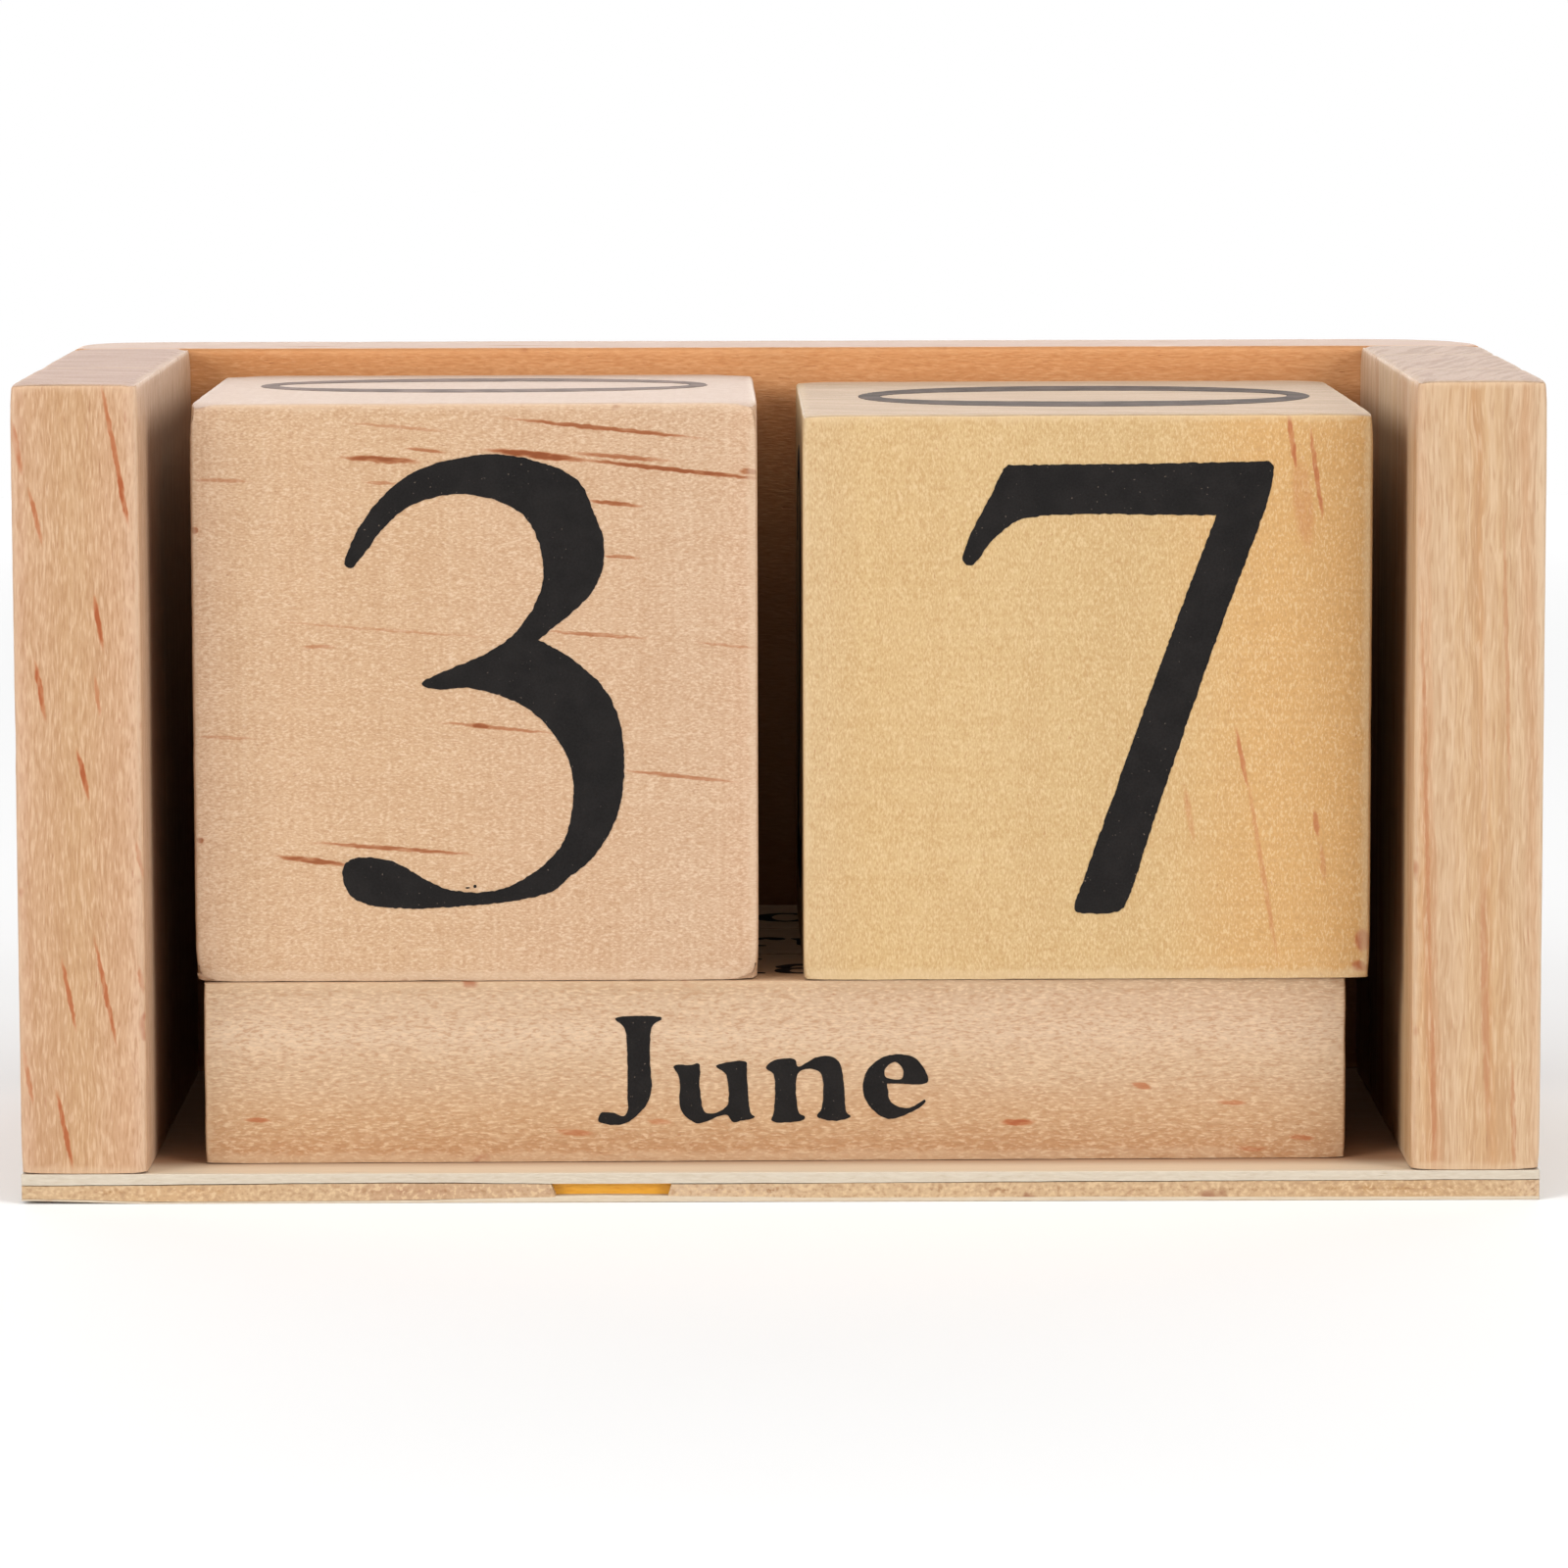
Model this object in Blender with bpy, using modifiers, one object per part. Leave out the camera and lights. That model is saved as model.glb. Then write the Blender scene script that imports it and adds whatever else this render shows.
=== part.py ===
"""Wooden perpetual desk calendar.

A glued wooden tray, open at the front and the top, holds three month bars on its floor and two
number cubes on top of the bars. The cubes lift out of the top and the bars pull out of the front.

Metres, +Z up. The origin is the middle of the footprint on the table. The width runs along X and
the open front faces -Y.
"""

import math

import bmesh
import bpy
from mathutils import Vector

# Driving dimensions, in metres.
WIDTH = 0.1500
DEPTH = 0.0775
HEIGHT = 0.0810
GLUE_GAP = 0.0003

# Tray walls. Depths are measured from the front face.
LEFT_CHEEK = 0.0125
RIGHT_CHEEK = 0.0128
BACK_PANEL = 0.0135
LEFT_SEAMS = (0.0280,)
RIGHT_SEAMS = (0.0205, 0.0470)
LEFT_CORNER_RADIUS = 0.0080
RIGHT_CORNER_RADIUS = 0.0120
CORNER_SEGMENTS = 10

# Base of three plies. The core has a gap in it, which is open at the front edge.
BASE = 0.0030
BOTTOM_PLY = 0.00035
CORE_PLY = 0.0011
CORE_VOID = (-0.0224, -0.0110)

# Month bars, front to back. The front bar sits a little askew.
BAR_LENGTH = 0.1133
BAR_HEIGHT = 0.0179
BAR_DEPTH = 0.0182
BAR_FRONTS = (0.0064, 0.0259, 0.0444)
BAR_CENTRES = (-0.0004, 0.0006, -0.0002)
BAR_TURNS = (math.radians(0.8), 0.0, 0.0)

# Number cubes, which stand slightly turned: middle of the width, width, height, turn.
CUBE_FRONT = 0.0065
CUBE_DEPTH = 0.0560
LEFT_CUBE = (-0.03024, 0.0558, 0.0569, math.radians(0.5))
RIGHT_CUBE = (0.03013, 0.0560, 0.0559, math.radians(0.45))

# Softened edges.
TRAY_EASE = 0.0006
BLOCK_EASE = 0.0007
EASE_SEGMENTS = 3
SHARPEST_SMOOTH = math.radians(35)

FRONT_Y = -DEPTH / 2
INNER_DEPTH = DEPTH - BACK_PANEL
LEFT_INSIDE = -WIDTH / 2 + LEFT_CHEEK
RIGHT_INSIDE = WIDTH / 2 - RIGHT_CHEEK


def srgb(red, green, blue):
    """Linear colour of an 8-bit display colour."""
    def linear(value):
        share = value / 255
        return share / 12.92 if share <= 0.04045 else ((share + 0.055) / 1.055) ** 2.4
    return (linear(red), linear(green), linear(blue), 1.0)


def timber(name, colour, roughness):
    """Bare or lightly waxed wood."""
    finish = bpy.data.materials.new(name)
    finish.use_nodes = True
    shader = finish.node_tree.nodes["Principled BSDF"]
    shader.inputs["Base Color"].default_value = colour
    shader.inputs["Roughness"].default_value = roughness
    shader.inputs["Metallic"].default_value = 0.0
    return finish


def block(name, low, high, finish, turn=0.0):
    """Box between two corners, given as x from the middle, depth from the front and height."""
    low = Vector((low[0], low[1] + FRONT_Y, low[2]))
    high = Vector((high[0], high[1] + FRONT_Y, high[2]))
    shape = bmesh.new()
    bmesh.ops.create_cube(shape, size=1.0)
    bmesh.ops.scale(shape, vec=high - low, verts=shape.verts)
    mesh = bpy.data.meshes.new(name)
    shape.to_mesh(mesh)
    shape.free()
    piece = bpy.data.objects.new(name, mesh)
    piece.location = (low + high) / 2
    piece.rotation_euler = (0, 0, turn)
    piece.parent = stand
    mesh.materials.append(finish)
    parts.objects.link(piece)
    return piece


def round_rear_corners(piece, left=0.0, right=0.0):
    """Round the upright rear edges of a piece that reaches the calendar's back corners."""
    shape = bmesh.new()
    shape.from_mesh(piece.data)
    rear = max(vert.co.y for vert in shape.verts)
    for side, radius in ((-1, left), (1, right)):
        outer = max(vert.co.x * side for vert in shape.verts)
        corner = [
            edge for edge in shape.edges
            if all(abs(vert.co.y - rear) < 1e-6 for vert in edge.verts)
            and all(abs(vert.co.x * side - outer) < 1e-6 for vert in edge.verts)
        ]
        if radius:
            bmesh.ops.bevel(
                shape, geom=corner, offset=radius, offset_type="OFFSET",
                segments=CORNER_SEGMENTS, profile=0.5, affect="EDGES",
            )
    shape.to_mesh(piece.data)
    shape.free()


def ease_edges(piece, width, glued=()):
    """Soften the sharp edges of a piece, except along the faces that are glued to a neighbour."""
    shape = bmesh.new()
    shape.from_mesh(piece.data)
    weight = shape.edges.layers.float.new("bevel_weight_edge")
    hidden = [Vector(direction) for direction in glued]
    for edge in shape.edges:
        meets_glue = any(
            face.normal.dot(direction) > 0.99 for face in edge.link_faces for direction in hidden
        )
        if edge.calc_face_angle() > SHARPEST_SMOOTH and not meets_glue:
            edge[weight] = 1.0
    shape.to_mesh(piece.data)
    shape.free()
    eased = piece.modifiers.new("eased edges", "BEVEL")
    eased.limit_method = "WEIGHT"
    eased.width = width
    eased.segments = EASE_SEGMENTS
    piece.data.shade_smooth()
    piece.data.set_sharp_from_angle(angle=SHARPEST_SMOOTH)


def base():
    """Plywood base: face veneer, core with its void, face veneer."""
    core_low = BOTTOM_PLY + GLUE_GAP
    core_high = core_low + CORE_PLY
    half = WIDTH / 2
    bottom = block("base_bottom_ply", (-half, 0, 0), (half, DEPTH, BOTTOM_PLY), pale_ply)
    round_rear_corners(bottom, LEFT_CORNER_RADIUS, RIGHT_CORNER_RADIUS)
    left = block(
        "base_core_ply_left", (-half, 0, core_low), (CORE_VOID[0], DEPTH, core_high), ochre_ply
    )
    round_rear_corners(left, left=LEFT_CORNER_RADIUS)
    right = block(
        "base_core_ply_right", (CORE_VOID[1], 0, core_low), (half, DEPTH, core_high), ochre_ply
    )
    round_rear_corners(right, right=RIGHT_CORNER_RADIUS)
    top = block("base_top_ply", (-half, 0, core_high + GLUE_GAP), (half, DEPTH, BASE), white_ply)
    round_rear_corners(top, LEFT_CORNER_RADIUS, RIGHT_CORNER_RADIUS)


def cheek(names, outside, inside, seams, finish):
    """Side wall glued up from upright staves, front to back."""
    fronts = (0.0,) + tuple(seam + GLUE_GAP / 2 for seam in seams)
    backs = tuple(seam - GLUE_GAP / 2 for seam in seams) + (INNER_DEPTH - GLUE_GAP,)
    near = min(outside, inside)
    far = max(outside, inside)
    for name, front, back in zip(names, fronts, backs):
        stave = block(name, (near, front, BASE + GLUE_GAP), (far, back, HEIGHT), finish)
        glued = [(0, 0, -1), (0, 1, 0)]
        if front > 0:
            glued.append((0, -1, 0))
        ease_edges(stave, TRAY_EASE, glued)


def back():
    """Back panel across the full width, with its outer corners rounded."""
    panel = block(
        "back_panel", (-WIDTH / 2, INNER_DEPTH, BASE + GLUE_GAP), (WIDTH / 2, DEPTH, HEIGHT), tan_wood
    )
    round_rear_corners(panel, LEFT_CORNER_RADIUS, RIGHT_CORNER_RADIUS)
    ease_edges(panel, TRAY_EASE, glued=[(0, 0, -1), (0, -1, 0)])


def month_bars():
    """Three bars side by side on the floor of the tray."""
    low = BASE + GLUE_GAP
    names = ("front_month_bar", "middle_month_bar", "rear_month_bar")
    for name, front, centre, turn in zip(names, BAR_FRONTS, BAR_CENTRES, BAR_TURNS):
        bar = block(
            name,
            (centre - BAR_LENGTH / 2, front, low),
            (centre + BAR_LENGTH / 2, front + BAR_DEPTH, low + BAR_HEIGHT),
            bar_wood,
            turn,
        )
        ease_edges(bar, BLOCK_EASE)


def number_cube(name, size, finish):
    """Cube that stands on the month bars."""
    centre, width, height, turn = size
    low = BASE + GLUE_GAP + BAR_HEIGHT + GLUE_GAP
    cube = block(
        name,
        (centre - width / 2, CUBE_FRONT, low),
        (centre + width / 2, CUBE_FRONT + CUBE_DEPTH, low + height),
        finish,
        turn,
    )
    ease_edges(cube, BLOCK_EASE)


for leftover in list(bpy.data.objects):
    bpy.data.objects.remove(leftover, do_unlink=True)

parts = bpy.data.collections.new("flip_desk_calendar")
bpy.context.scene.collection.children.link(parts)
stand = bpy.data.objects.new("calendar_origin", None)
parts.objects.link(stand)

pale_ply = timber("pale ply", srgb(229, 206, 178), 0.70)
ochre_ply = timber("ochre ply", srgb(216, 181, 142), 0.78)
white_ply = timber("white ply", srgb(227, 212, 192), 0.66)
tan_wood = timber("tan back wood", srgb(214, 151, 96), 0.60)
left_cheek_wood = timber("left cheek wood", srgb(217, 173, 134), 0.55)
right_cheek_wood = timber("right cheek wood", srgb(221, 181, 138), 0.55)
bar_wood = timber("bar wood", srgb(218, 179, 141), 0.55)
left_cube_wood = timber("left cube wood", srgb(222, 183, 147), 0.52)
right_cube_wood = timber("right cube wood", srgb(223, 184, 130), 0.52)

base()
cheek(("left_front_stave", "left_rear_stave"), -WIDTH / 2, LEFT_INSIDE, LEFT_SEAMS, left_cheek_wood)
cheek(
    ("right_front_stave", "right_middle_stave", "right_rear_stave"),
    WIDTH / 2, RIGHT_INSIDE, RIGHT_SEAMS, right_cheek_wood,
)
back()
month_bars()
number_cube("left_number_cube", LEFT_CUBE, left_cube_wood)
number_cube("right_number_cube", RIGHT_CUBE, right_cube_wood)
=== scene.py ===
import math

import bmesh
import bpy
from mathutils import Matrix, Vector, geometry, noise


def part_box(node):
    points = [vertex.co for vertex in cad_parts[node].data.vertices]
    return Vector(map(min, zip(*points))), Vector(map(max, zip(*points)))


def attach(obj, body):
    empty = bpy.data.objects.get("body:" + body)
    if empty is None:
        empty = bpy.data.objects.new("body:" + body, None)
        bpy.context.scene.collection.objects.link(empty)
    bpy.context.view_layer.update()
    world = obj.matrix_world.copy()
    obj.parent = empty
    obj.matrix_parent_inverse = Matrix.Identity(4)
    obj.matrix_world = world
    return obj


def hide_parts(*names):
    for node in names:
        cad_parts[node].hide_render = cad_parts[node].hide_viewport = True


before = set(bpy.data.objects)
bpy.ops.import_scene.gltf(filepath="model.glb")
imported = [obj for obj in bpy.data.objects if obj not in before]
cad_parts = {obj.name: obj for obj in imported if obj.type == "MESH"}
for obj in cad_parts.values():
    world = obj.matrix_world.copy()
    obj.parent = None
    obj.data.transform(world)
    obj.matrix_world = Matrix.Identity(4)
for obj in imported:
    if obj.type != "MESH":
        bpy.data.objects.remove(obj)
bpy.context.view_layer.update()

# Wooden block calendar: every CAD block gets a worn, slightly uneven wooden stand-in with solid
# procedural grain, and the printed digits and month names are thin films of ink on the faces.
# Lengths below are millimetres in the frame unless a name says otherwise.

MM = 0.001


# ---------------------------------------------------------------- camera, lights and floor

CAMERA_PLACE = (-1.97 * MM, -713.98 * MM, 120.9 * MM)
CAMERA_TURN = math.radians(-0.202)
CAMERA_TILT = math.radians(-6.699)
CAMERA_ROLL = math.radians(0.136)
CAMERA_LENS = 159.13
SENSOR_WIDTH = 36

# Area lights: name, place and size in metres, and power in watts. All aim at LIGHT_TARGET.
SOFTBOXES = (
    ("left_softbox", (-1.08, -0.86, 0.55), (0.8, 0.9), 17.5),
    ("right_softbox", (1.08, -0.86, 0.55), (0.8, 0.9), 16.1),
    ("top_softbox", (0, -0.35, 1.3), (1.6, 0.9), 12.4),
    ("rear_card", (0, 1.4, 0.42), (3, 0.85), 24.5),
)
LIGHT_TARGET = Vector((0, 0, 0.04))
WORLD_FILL = 0.05
FLOOR_RADIUS = 0.9
FLOOR_TONE = (0.8, 0.8, 0.8, 1)


def add_camera():
    data = bpy.data.cameras.new("camera")
    data.lens = CAMERA_LENS
    data.sensor_width = SENSOR_WIDTH
    data.clip_start = 0.01
    camera = bpy.data.objects.new("camera", data)
    level = Matrix.Rotation(math.pi / 2, 4, "X")
    turn = Matrix.Rotation(CAMERA_TURN, 4, "Z")
    tilt = Matrix.Rotation(CAMERA_TILT, 4, "X")
    roll = Matrix.Rotation(CAMERA_ROLL, 4, "Y")
    camera.matrix_world = Matrix.Translation(CAMERA_PLACE) @ turn @ tilt @ roll @ level
    bpy.context.scene.collection.objects.link(camera)
    bpy.context.scene.camera = camera


def add_lights():
    """Softboxes that the camera doesn't see."""
    for name, place, size, power in SOFTBOXES:
        data = bpy.data.lights.new(name, "AREA")
        data.shape = "RECTANGLE"
        data.size, data.size_y = size
        data.energy = power
        light = bpy.data.objects.new(name, data)
        light.location = place
        towards = LIGHT_TARGET - Vector(place)
        light.rotation_euler = towards.to_track_quat("-Z", "Y").to_euler()
        light.visible_camera = False
        bpy.context.scene.collection.objects.link(light)


def add_world():
    """White all round to the camera, and a faint even fill as light."""
    world = bpy.data.worlds.new("studio")
    bpy.context.scene.world = world
    world.use_nodes = True
    tree = world.node_tree
    tree.nodes.clear()
    path = tree.nodes.new("ShaderNodeLightPath")
    mix = tree.nodes.new("ShaderNodeMixShader")
    output = tree.nodes.new("ShaderNodeOutputWorld")
    tree.links.new(path.outputs["Is Camera Ray"], mix.inputs[0])
    for socket, strength in ((1, WORLD_FILL), (2, 1.0)):
        white = tree.nodes.new("ShaderNodeBackground")
        white.inputs["Color"].default_value = (1, 1, 1, 1)
        white.inputs["Strength"].default_value = strength
        tree.links.new(white.outputs[0], mix.inputs[socket])
    tree.links.new(mix.outputs[0], output.inputs[0])


def add_floor():
    shape = bmesh.new()
    bmesh.ops.create_circle(shape, cap_ends=True, segments=96, radius=FLOOR_RADIUS)
    mesh = bpy.data.meshes.new("floor")
    shape.to_mesh(mesh)
    shape.free()
    floor = bpy.data.objects.new("floor", mesh)
    bpy.context.scene.collection.objects.link(floor)
    matt = bpy.data.materials.new("floor paint")
    matt.use_nodes = True
    shader = matt.node_tree.nodes["Principled BSDF"]
    shader.inputs["Base Color"].default_value = FLOOR_TONE
    shader.inputs["Roughness"].default_value = 0.9
    shader.inputs["Specular IOR Level"].default_value = 0.2
    mesh.materials.append(matt)


# ---------------------------------------------------------------- material nodes

LIGHT_LEVEL = 1.5
LIGHTEST = 0.96
AXES = {"X": (1, 0, 0), "Y": (0, 1, 0), "Z": (0, 0, 1)}


def paint(red, green, blue):
    """Surface colour that shows as this 8-bit colour under the studio's front light."""
    def linear(value):
        share = value / 255
        return share / 12.92 if share <= 0.04045 else ((share + 0.055) / 1.055) ** 2.4
    return tuple(min(linear(value) / LIGHT_LEVEL, LIGHTEST) for value in (red, green, blue)) + (1.0,)


def stretched(grain, along, across):
    """Cycles per millimetre for a pattern drawn out along the grain."""
    return tuple(along if here else across for here in AXES[grain])


class Recipe:
    """Short calls that add the nodes of one material.

    colour and height are the sockets that the surface has so far.
    """

    def __init__(self, name):
        self.material = bpy.data.materials.new(name)
        self.material.use_nodes = True
        self.tree = self.material.node_tree
        self.shader = self.tree.nodes["Principled BSDF"]
        coordinates = self.add("ShaderNodeTexCoord")
        self.normal = coordinates.outputs["Normal"]
        self.place = self.vector("MULTIPLY", coordinates.outputs["Object"], (1 / MM,) * 3)
        self.colour = None
        self.height = None

    def add(self, kind, values=(), **settings):
        """New node with its settings, and its input sockets fed in turn or by name."""
        node = self.tree.nodes.new(kind)
        for key, value in settings.items():
            setattr(node, key, value)
        named = values if isinstance(values, dict) else dict(enumerate(values))
        for socket, value in named.items():
            self.feed(node.inputs[socket], value)
        return node

    def feed(self, socket, value):
        if isinstance(value, bpy.types.NodeSocket):
            self.tree.links.new(value, socket)
        else:
            socket.default_value = value

    def math(self, operation, *values):
        return self.add("ShaderNodeMath", values, operation=operation).outputs[0]

    def times(self, first, second):
        return self.math("MULTIPLY", first, second)

    def vector(self, operation, *values):
        node = self.add("ShaderNodeVectorMath", values, operation=operation)
        single = operation in ("LENGTH", "DOT_PRODUCT")
        return node.outputs["Value" if single else "Vector"]

    def split(self, vector):
        return self.add("ShaderNodeSeparateXYZ", (vector,)).outputs

    def fade(self, value, start, end, low=0.0, high=1.0):
        """Eased change from low at start to high at end."""
        values = (value, start, end, low, high)
        return self.add("ShaderNodeMapRange", values, interpolation_type="SMOOTHSTEP").outputs[0]

    def mapped(self, source, scale, place, turn=(0, 0, 0), kind="POINT"):
        values = {"Vector": source, "Scale": scale, "Location": place, "Rotation": turn}
        return self.add("ShaderNodeMapping", values, vector_type=kind).outputs[0]

    def cloud(self, source, detail, rough=0.5):
        values = {"Vector": source, "Scale": 1, "Detail": detail, "Roughness": rough}
        return self.add("ShaderNodeTexNoise", values).outputs

    def noise(self, cycles, seed, detail=2.0, rough=0.5, source=None):
        """Noise about 0.5 with this many cycles per millimetre along each axis."""
        offset = (seed * 7.3, seed * 3.1, seed * 11.9)
        return self.cloud(self.mapped(source or self.place, cycles, offset), detail, rough)["Fac"]

    def warped(self, reach, cycles, seed):
        """The place, pushed about by up to this many millimetres."""
        offset = (seed * 5.1, seed * 9.7, seed * 2.3)
        cloud = self.cloud(self.mapped(self.place, cycles, offset), 1)["Color"]
        centred = self.vector("SUBTRACT", cloud, (0.5, 0.5, 0.5))
        return self.vector("ADD", self.place, self.vector("MULTIPLY", centred, (2 * reach,) * 3))

    def blend(self, share, low, high):
        return self.add("ShaderNodeMix", {0: share, 6: low, 7: high}, data_type="RGBA").outputs[2]

    def bands(self, value, stops):
        """Colour ramp through (place, colour) stops."""
        node = self.add("ShaderNodeValToRGB")
        ramp = node.color_ramp
        ramp.interpolation = "EASE"
        for index, (place, colour) in enumerate(stops):
            stop = ramp.elements[index] if index < 2 else ramp.elements.new(place)
            stop.position = place
            stop.color = colour
        self.feed(node.inputs[0], value)
        return node.outputs[0]

    def tint(self, share, tone):
        """Take the colour so far towards an 8-bit one."""
        self.colour = self.blend(share, self.colour, paint(*tone))

    def lift(self, pattern, amount):
        self.height = self.math("MULTIPLY_ADD", pattern, amount, self.height)

    def surface(self, rough, gloss, strength, relief):
        """Join the colour, roughness and height to the shader. relief is the height's full scale."""
        values = {"Strength": strength, "Distance": relief * MM, "Height": self.height}
        bump = self.add("ShaderNodeBump", values).outputs[0]
        for socket, value in (
            ("Base Color", self.colour), ("Roughness", rough), ("Normal", bump),
            ("Specular IOR Level", gloss),
        ):
            self.feed(self.shader.inputs[socket], value)
        return self.material


class Timber:
    """Look of one block of wood: its colours in 8-bit display values, and how it is sawn.

    pale, body, deep and streak are colours, end is the end grain's and halo lies round a streak.
    grain is the axis along the fibres, and rings the direction across the growth rings. bands are
    (place, colour) stops along lean. fleck, stray, saw, stripe and ring_depth are strengths, and
    fibre is the cycles per millimetre along and across the grain.
    """

    USUAL = dict(
        rings=(0, 0, 1), ring_gap=2.2, ring_depth=0.3, fleck=(0.5, 0.5), rough=0.56, end=None,
        streaks=(), stray=0.6, saw=0.0, fibre=(0.9, 4.6), bands=None, lean=(1, 0, 0),
        halo=(218, 142, 86), stripe=0.0,
    )

    def __init__(self, **look):
        vars(self).update({**self.USUAL, **look})
        self.end = self.end or self.deep

    def like(self, **changes):
        return Timber(**{**vars(self), **changes})


BAND_STRENGTH = 0.85
PATCH_STRENGTH = 0.5
FLECK_LIFT = 12
END_LIFT = 22


def broad_tone(recipe, timber, bent):
    """Slow patches and colour bands, then growth rings lying across the ring direction."""
    grain = timber.grain
    seed = timber.seed
    slow = recipe.noise(stretched(grain, 0.018, 0.075), seed + 1)
    body = paint(*timber.body)
    patched = recipe.blend(recipe.fade(slow, 0.3, 0.7), body, paint(*timber.pale))
    recipe.colour = recipe.blend(PATCH_STRENGTH, body, patched)
    if timber.bands:
        first = timber.bands[0][0]
        span = timber.bands[-1][0] - first
        across_bands = recipe.vector("DOT_PRODUCT", bent, timber.lean)
        share = recipe.math("DIVIDE", recipe.math("SUBTRACT", across_bands, first), span)
        stops = [((place - first) / span, paint(*tone)) for place, tone in timber.bands]
        recipe.colour = recipe.blend(BAND_STRENGTH, recipe.colour, recipe.bands(share, stops))
    level = recipe.vector("DOT_PRODUCT", bent, tuple(Vector(timber.rings).normalized()))
    uneven = recipe.noise(stretched(grain, 0.02, 0.16), seed + 2, 1.0, source=bent)
    level = recipe.math("MULTIPLY_ADD", uneven, 2.0 * timber.ring_gap, level)
    phase = recipe.math("FRACT", recipe.math("DIVIDE", level, timber.ring_gap))
    ring = recipe.times(recipe.fade(phase, 0.25, 0.88), recipe.fade(phase, 1.0, 0.9))
    recipe.tint(recipe.times(ring, timber.ring_depth), timber.deep)
    if timber.stripe:
        drawn = recipe.noise(stretched(grain, 0.012, 0.8), seed + 11, 3.0, source=bent)
        recipe.tint(recipe.fade(drawn, 0.5, 0.64, 0.0, timber.stripe), timber.deep)
        recipe.tint(recipe.fade(drawn, 0.48, 0.34, 0.0, timber.stripe), timber.pale)


def fibres(recipe, timber, bent):
    """Fine light and dark flecks, a middling layer, short dark pores and saw marks."""
    grain = timber.grain
    seed = timber.seed
    along, across = timber.fibre
    fine = recipe.noise(stretched(grain, along, across), seed + 3, 1.6, 0.6, source=bent)
    middling = recipe.noise(stretched(grain, along * 0.28, across * 0.36), seed + 4, source=bent)
    recipe.tint(recipe.fade(middling, 0.4, 0.7, 0.0, 0.15), timber.deep)
    recipe.tint(recipe.fade(middling, 0.5, 0.25, 0.0, 0.12), timber.pale)
    light = recipe.times(recipe.fade(fine, 0.52, 0.66), timber.fleck[0])
    dark = recipe.times(recipe.fade(fine, 0.48, 0.34), timber.fleck[1])
    recipe.tint(light, [value + FLECK_LIFT for value in timber.pale])
    recipe.tint(dark, timber.deep)
    pores = recipe.noise(stretched(grain, along * 0.8, across * 0.9), seed + 5, 1.0, source=bent)
    pore = recipe.fade(pores, 0.70, 0.80)
    recipe.tint(recipe.times(pore, 0.35), timber.streak)
    recipe.height = recipe.times(fine, 0.8)
    recipe.lift(pore, -0.5)
    if timber.saw:
        marks = recipe.noise(stretched(grain, 1.9, 0.02), seed + 6)
        recipe.tint(recipe.fade(marks, 0.52, 0.68, 0.0, timber.saw), timber.pale)
        recipe.tint(recipe.fade(marks, 0.46, 0.32, 0.0, timber.saw), timber.deep)
        recipe.lift(marks, 0.4)
    return fine, middling


def streak_field(recipe, streaks, face):
    """How strongly a point lies in one of the resin streaks drawn on a front face.

    A streak is (x, z, length, thickness, tilt in degrees, strength). Tilt 0 runs along X and a
    positive tilt descends to the right. face is the front face's y.
    """
    depth = 2.5
    source = recipe.warped(0.16, (1.1, 1.1, 1.1), 3)
    total = None
    for x, z, length, thickness, tilt, strength in streaks:
        size = (length * 0.62, depth, thickness * 0.85)
        turn = (0, math.radians(tilt), 0)
        place = recipe.mapped(source, size, (x, face, z), turn, "TEXTURE")
        ball = recipe.add("ShaderNodeTexGradient", (place,), gradient_type="SPHERICAL")
        part = recipe.fade(ball.outputs["Fac"], 0.0, 0.5, 0.0, strength)
        total = part if total is None else recipe.math("MAXIMUM", total, part)
    return total


def stray_flecks(recipe, grain, seed):
    """Sparse short resin flecks along the grain, for the faces that the photograph doesn't show."""
    spacing = 9.0
    length = 5.0
    thickness = 0.35
    kept = 0.35
    cycles = stretched(grain, 1 / (spacing * 2.4), 1 / spacing)
    offset = (seed * 1.7, seed * 2.9, seed * 0.7)
    place = recipe.mapped(recipe.warped(0.3, (0.4, 0.4, 0.4), seed), cycles, offset)
    cell = recipe.add("ShaderNodeTexVoronoi", {"Vector": place, "Scale": 1})
    gap = recipe.vector("SUBTRACT", place, cell.outputs["Position"])
    half = [length / (spacing * 2.4) if on else thickness * 2.2 / spacing for on in AXES[grain]]
    drawn = recipe.vector("DIVIDE", gap, tuple(half))
    inside = recipe.fade(recipe.vector("LENGTH", drawn), 1.0, 0.2)
    chosen = recipe.fade(recipe.split(cell.outputs["Color"])[0], 1 - kept, 1 - kept + 0.05)
    return recipe.times(inside, chosen)


def resin(recipe, timber, front):
    """Resin streaks: the ones seen on the front face, and strays on the other faces."""
    patchy = recipe.noise(stretched(timber.grain, 0.5, 2.2), timber.seed + 7)
    mask = recipe.times(stray_flecks(recipe, timber.grain, timber.seed), timber.stray)
    if timber.streaks:
        behind = recipe.fade(recipe.split(recipe.place)[1], front + 1.5, front + 4.0)
        mask = recipe.times(mask, behind)
        mask = recipe.math("MAXIMUM", mask, streak_field(recipe, timber.streaks, front))
    mask = recipe.times(mask, recipe.fade(patchy, 0.3, 0.55, 0.6, 1.0))
    recipe.tint(mask, timber.halo)
    recipe.tint(recipe.math("POWER", mask, 1.3), timber.streak)


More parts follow.
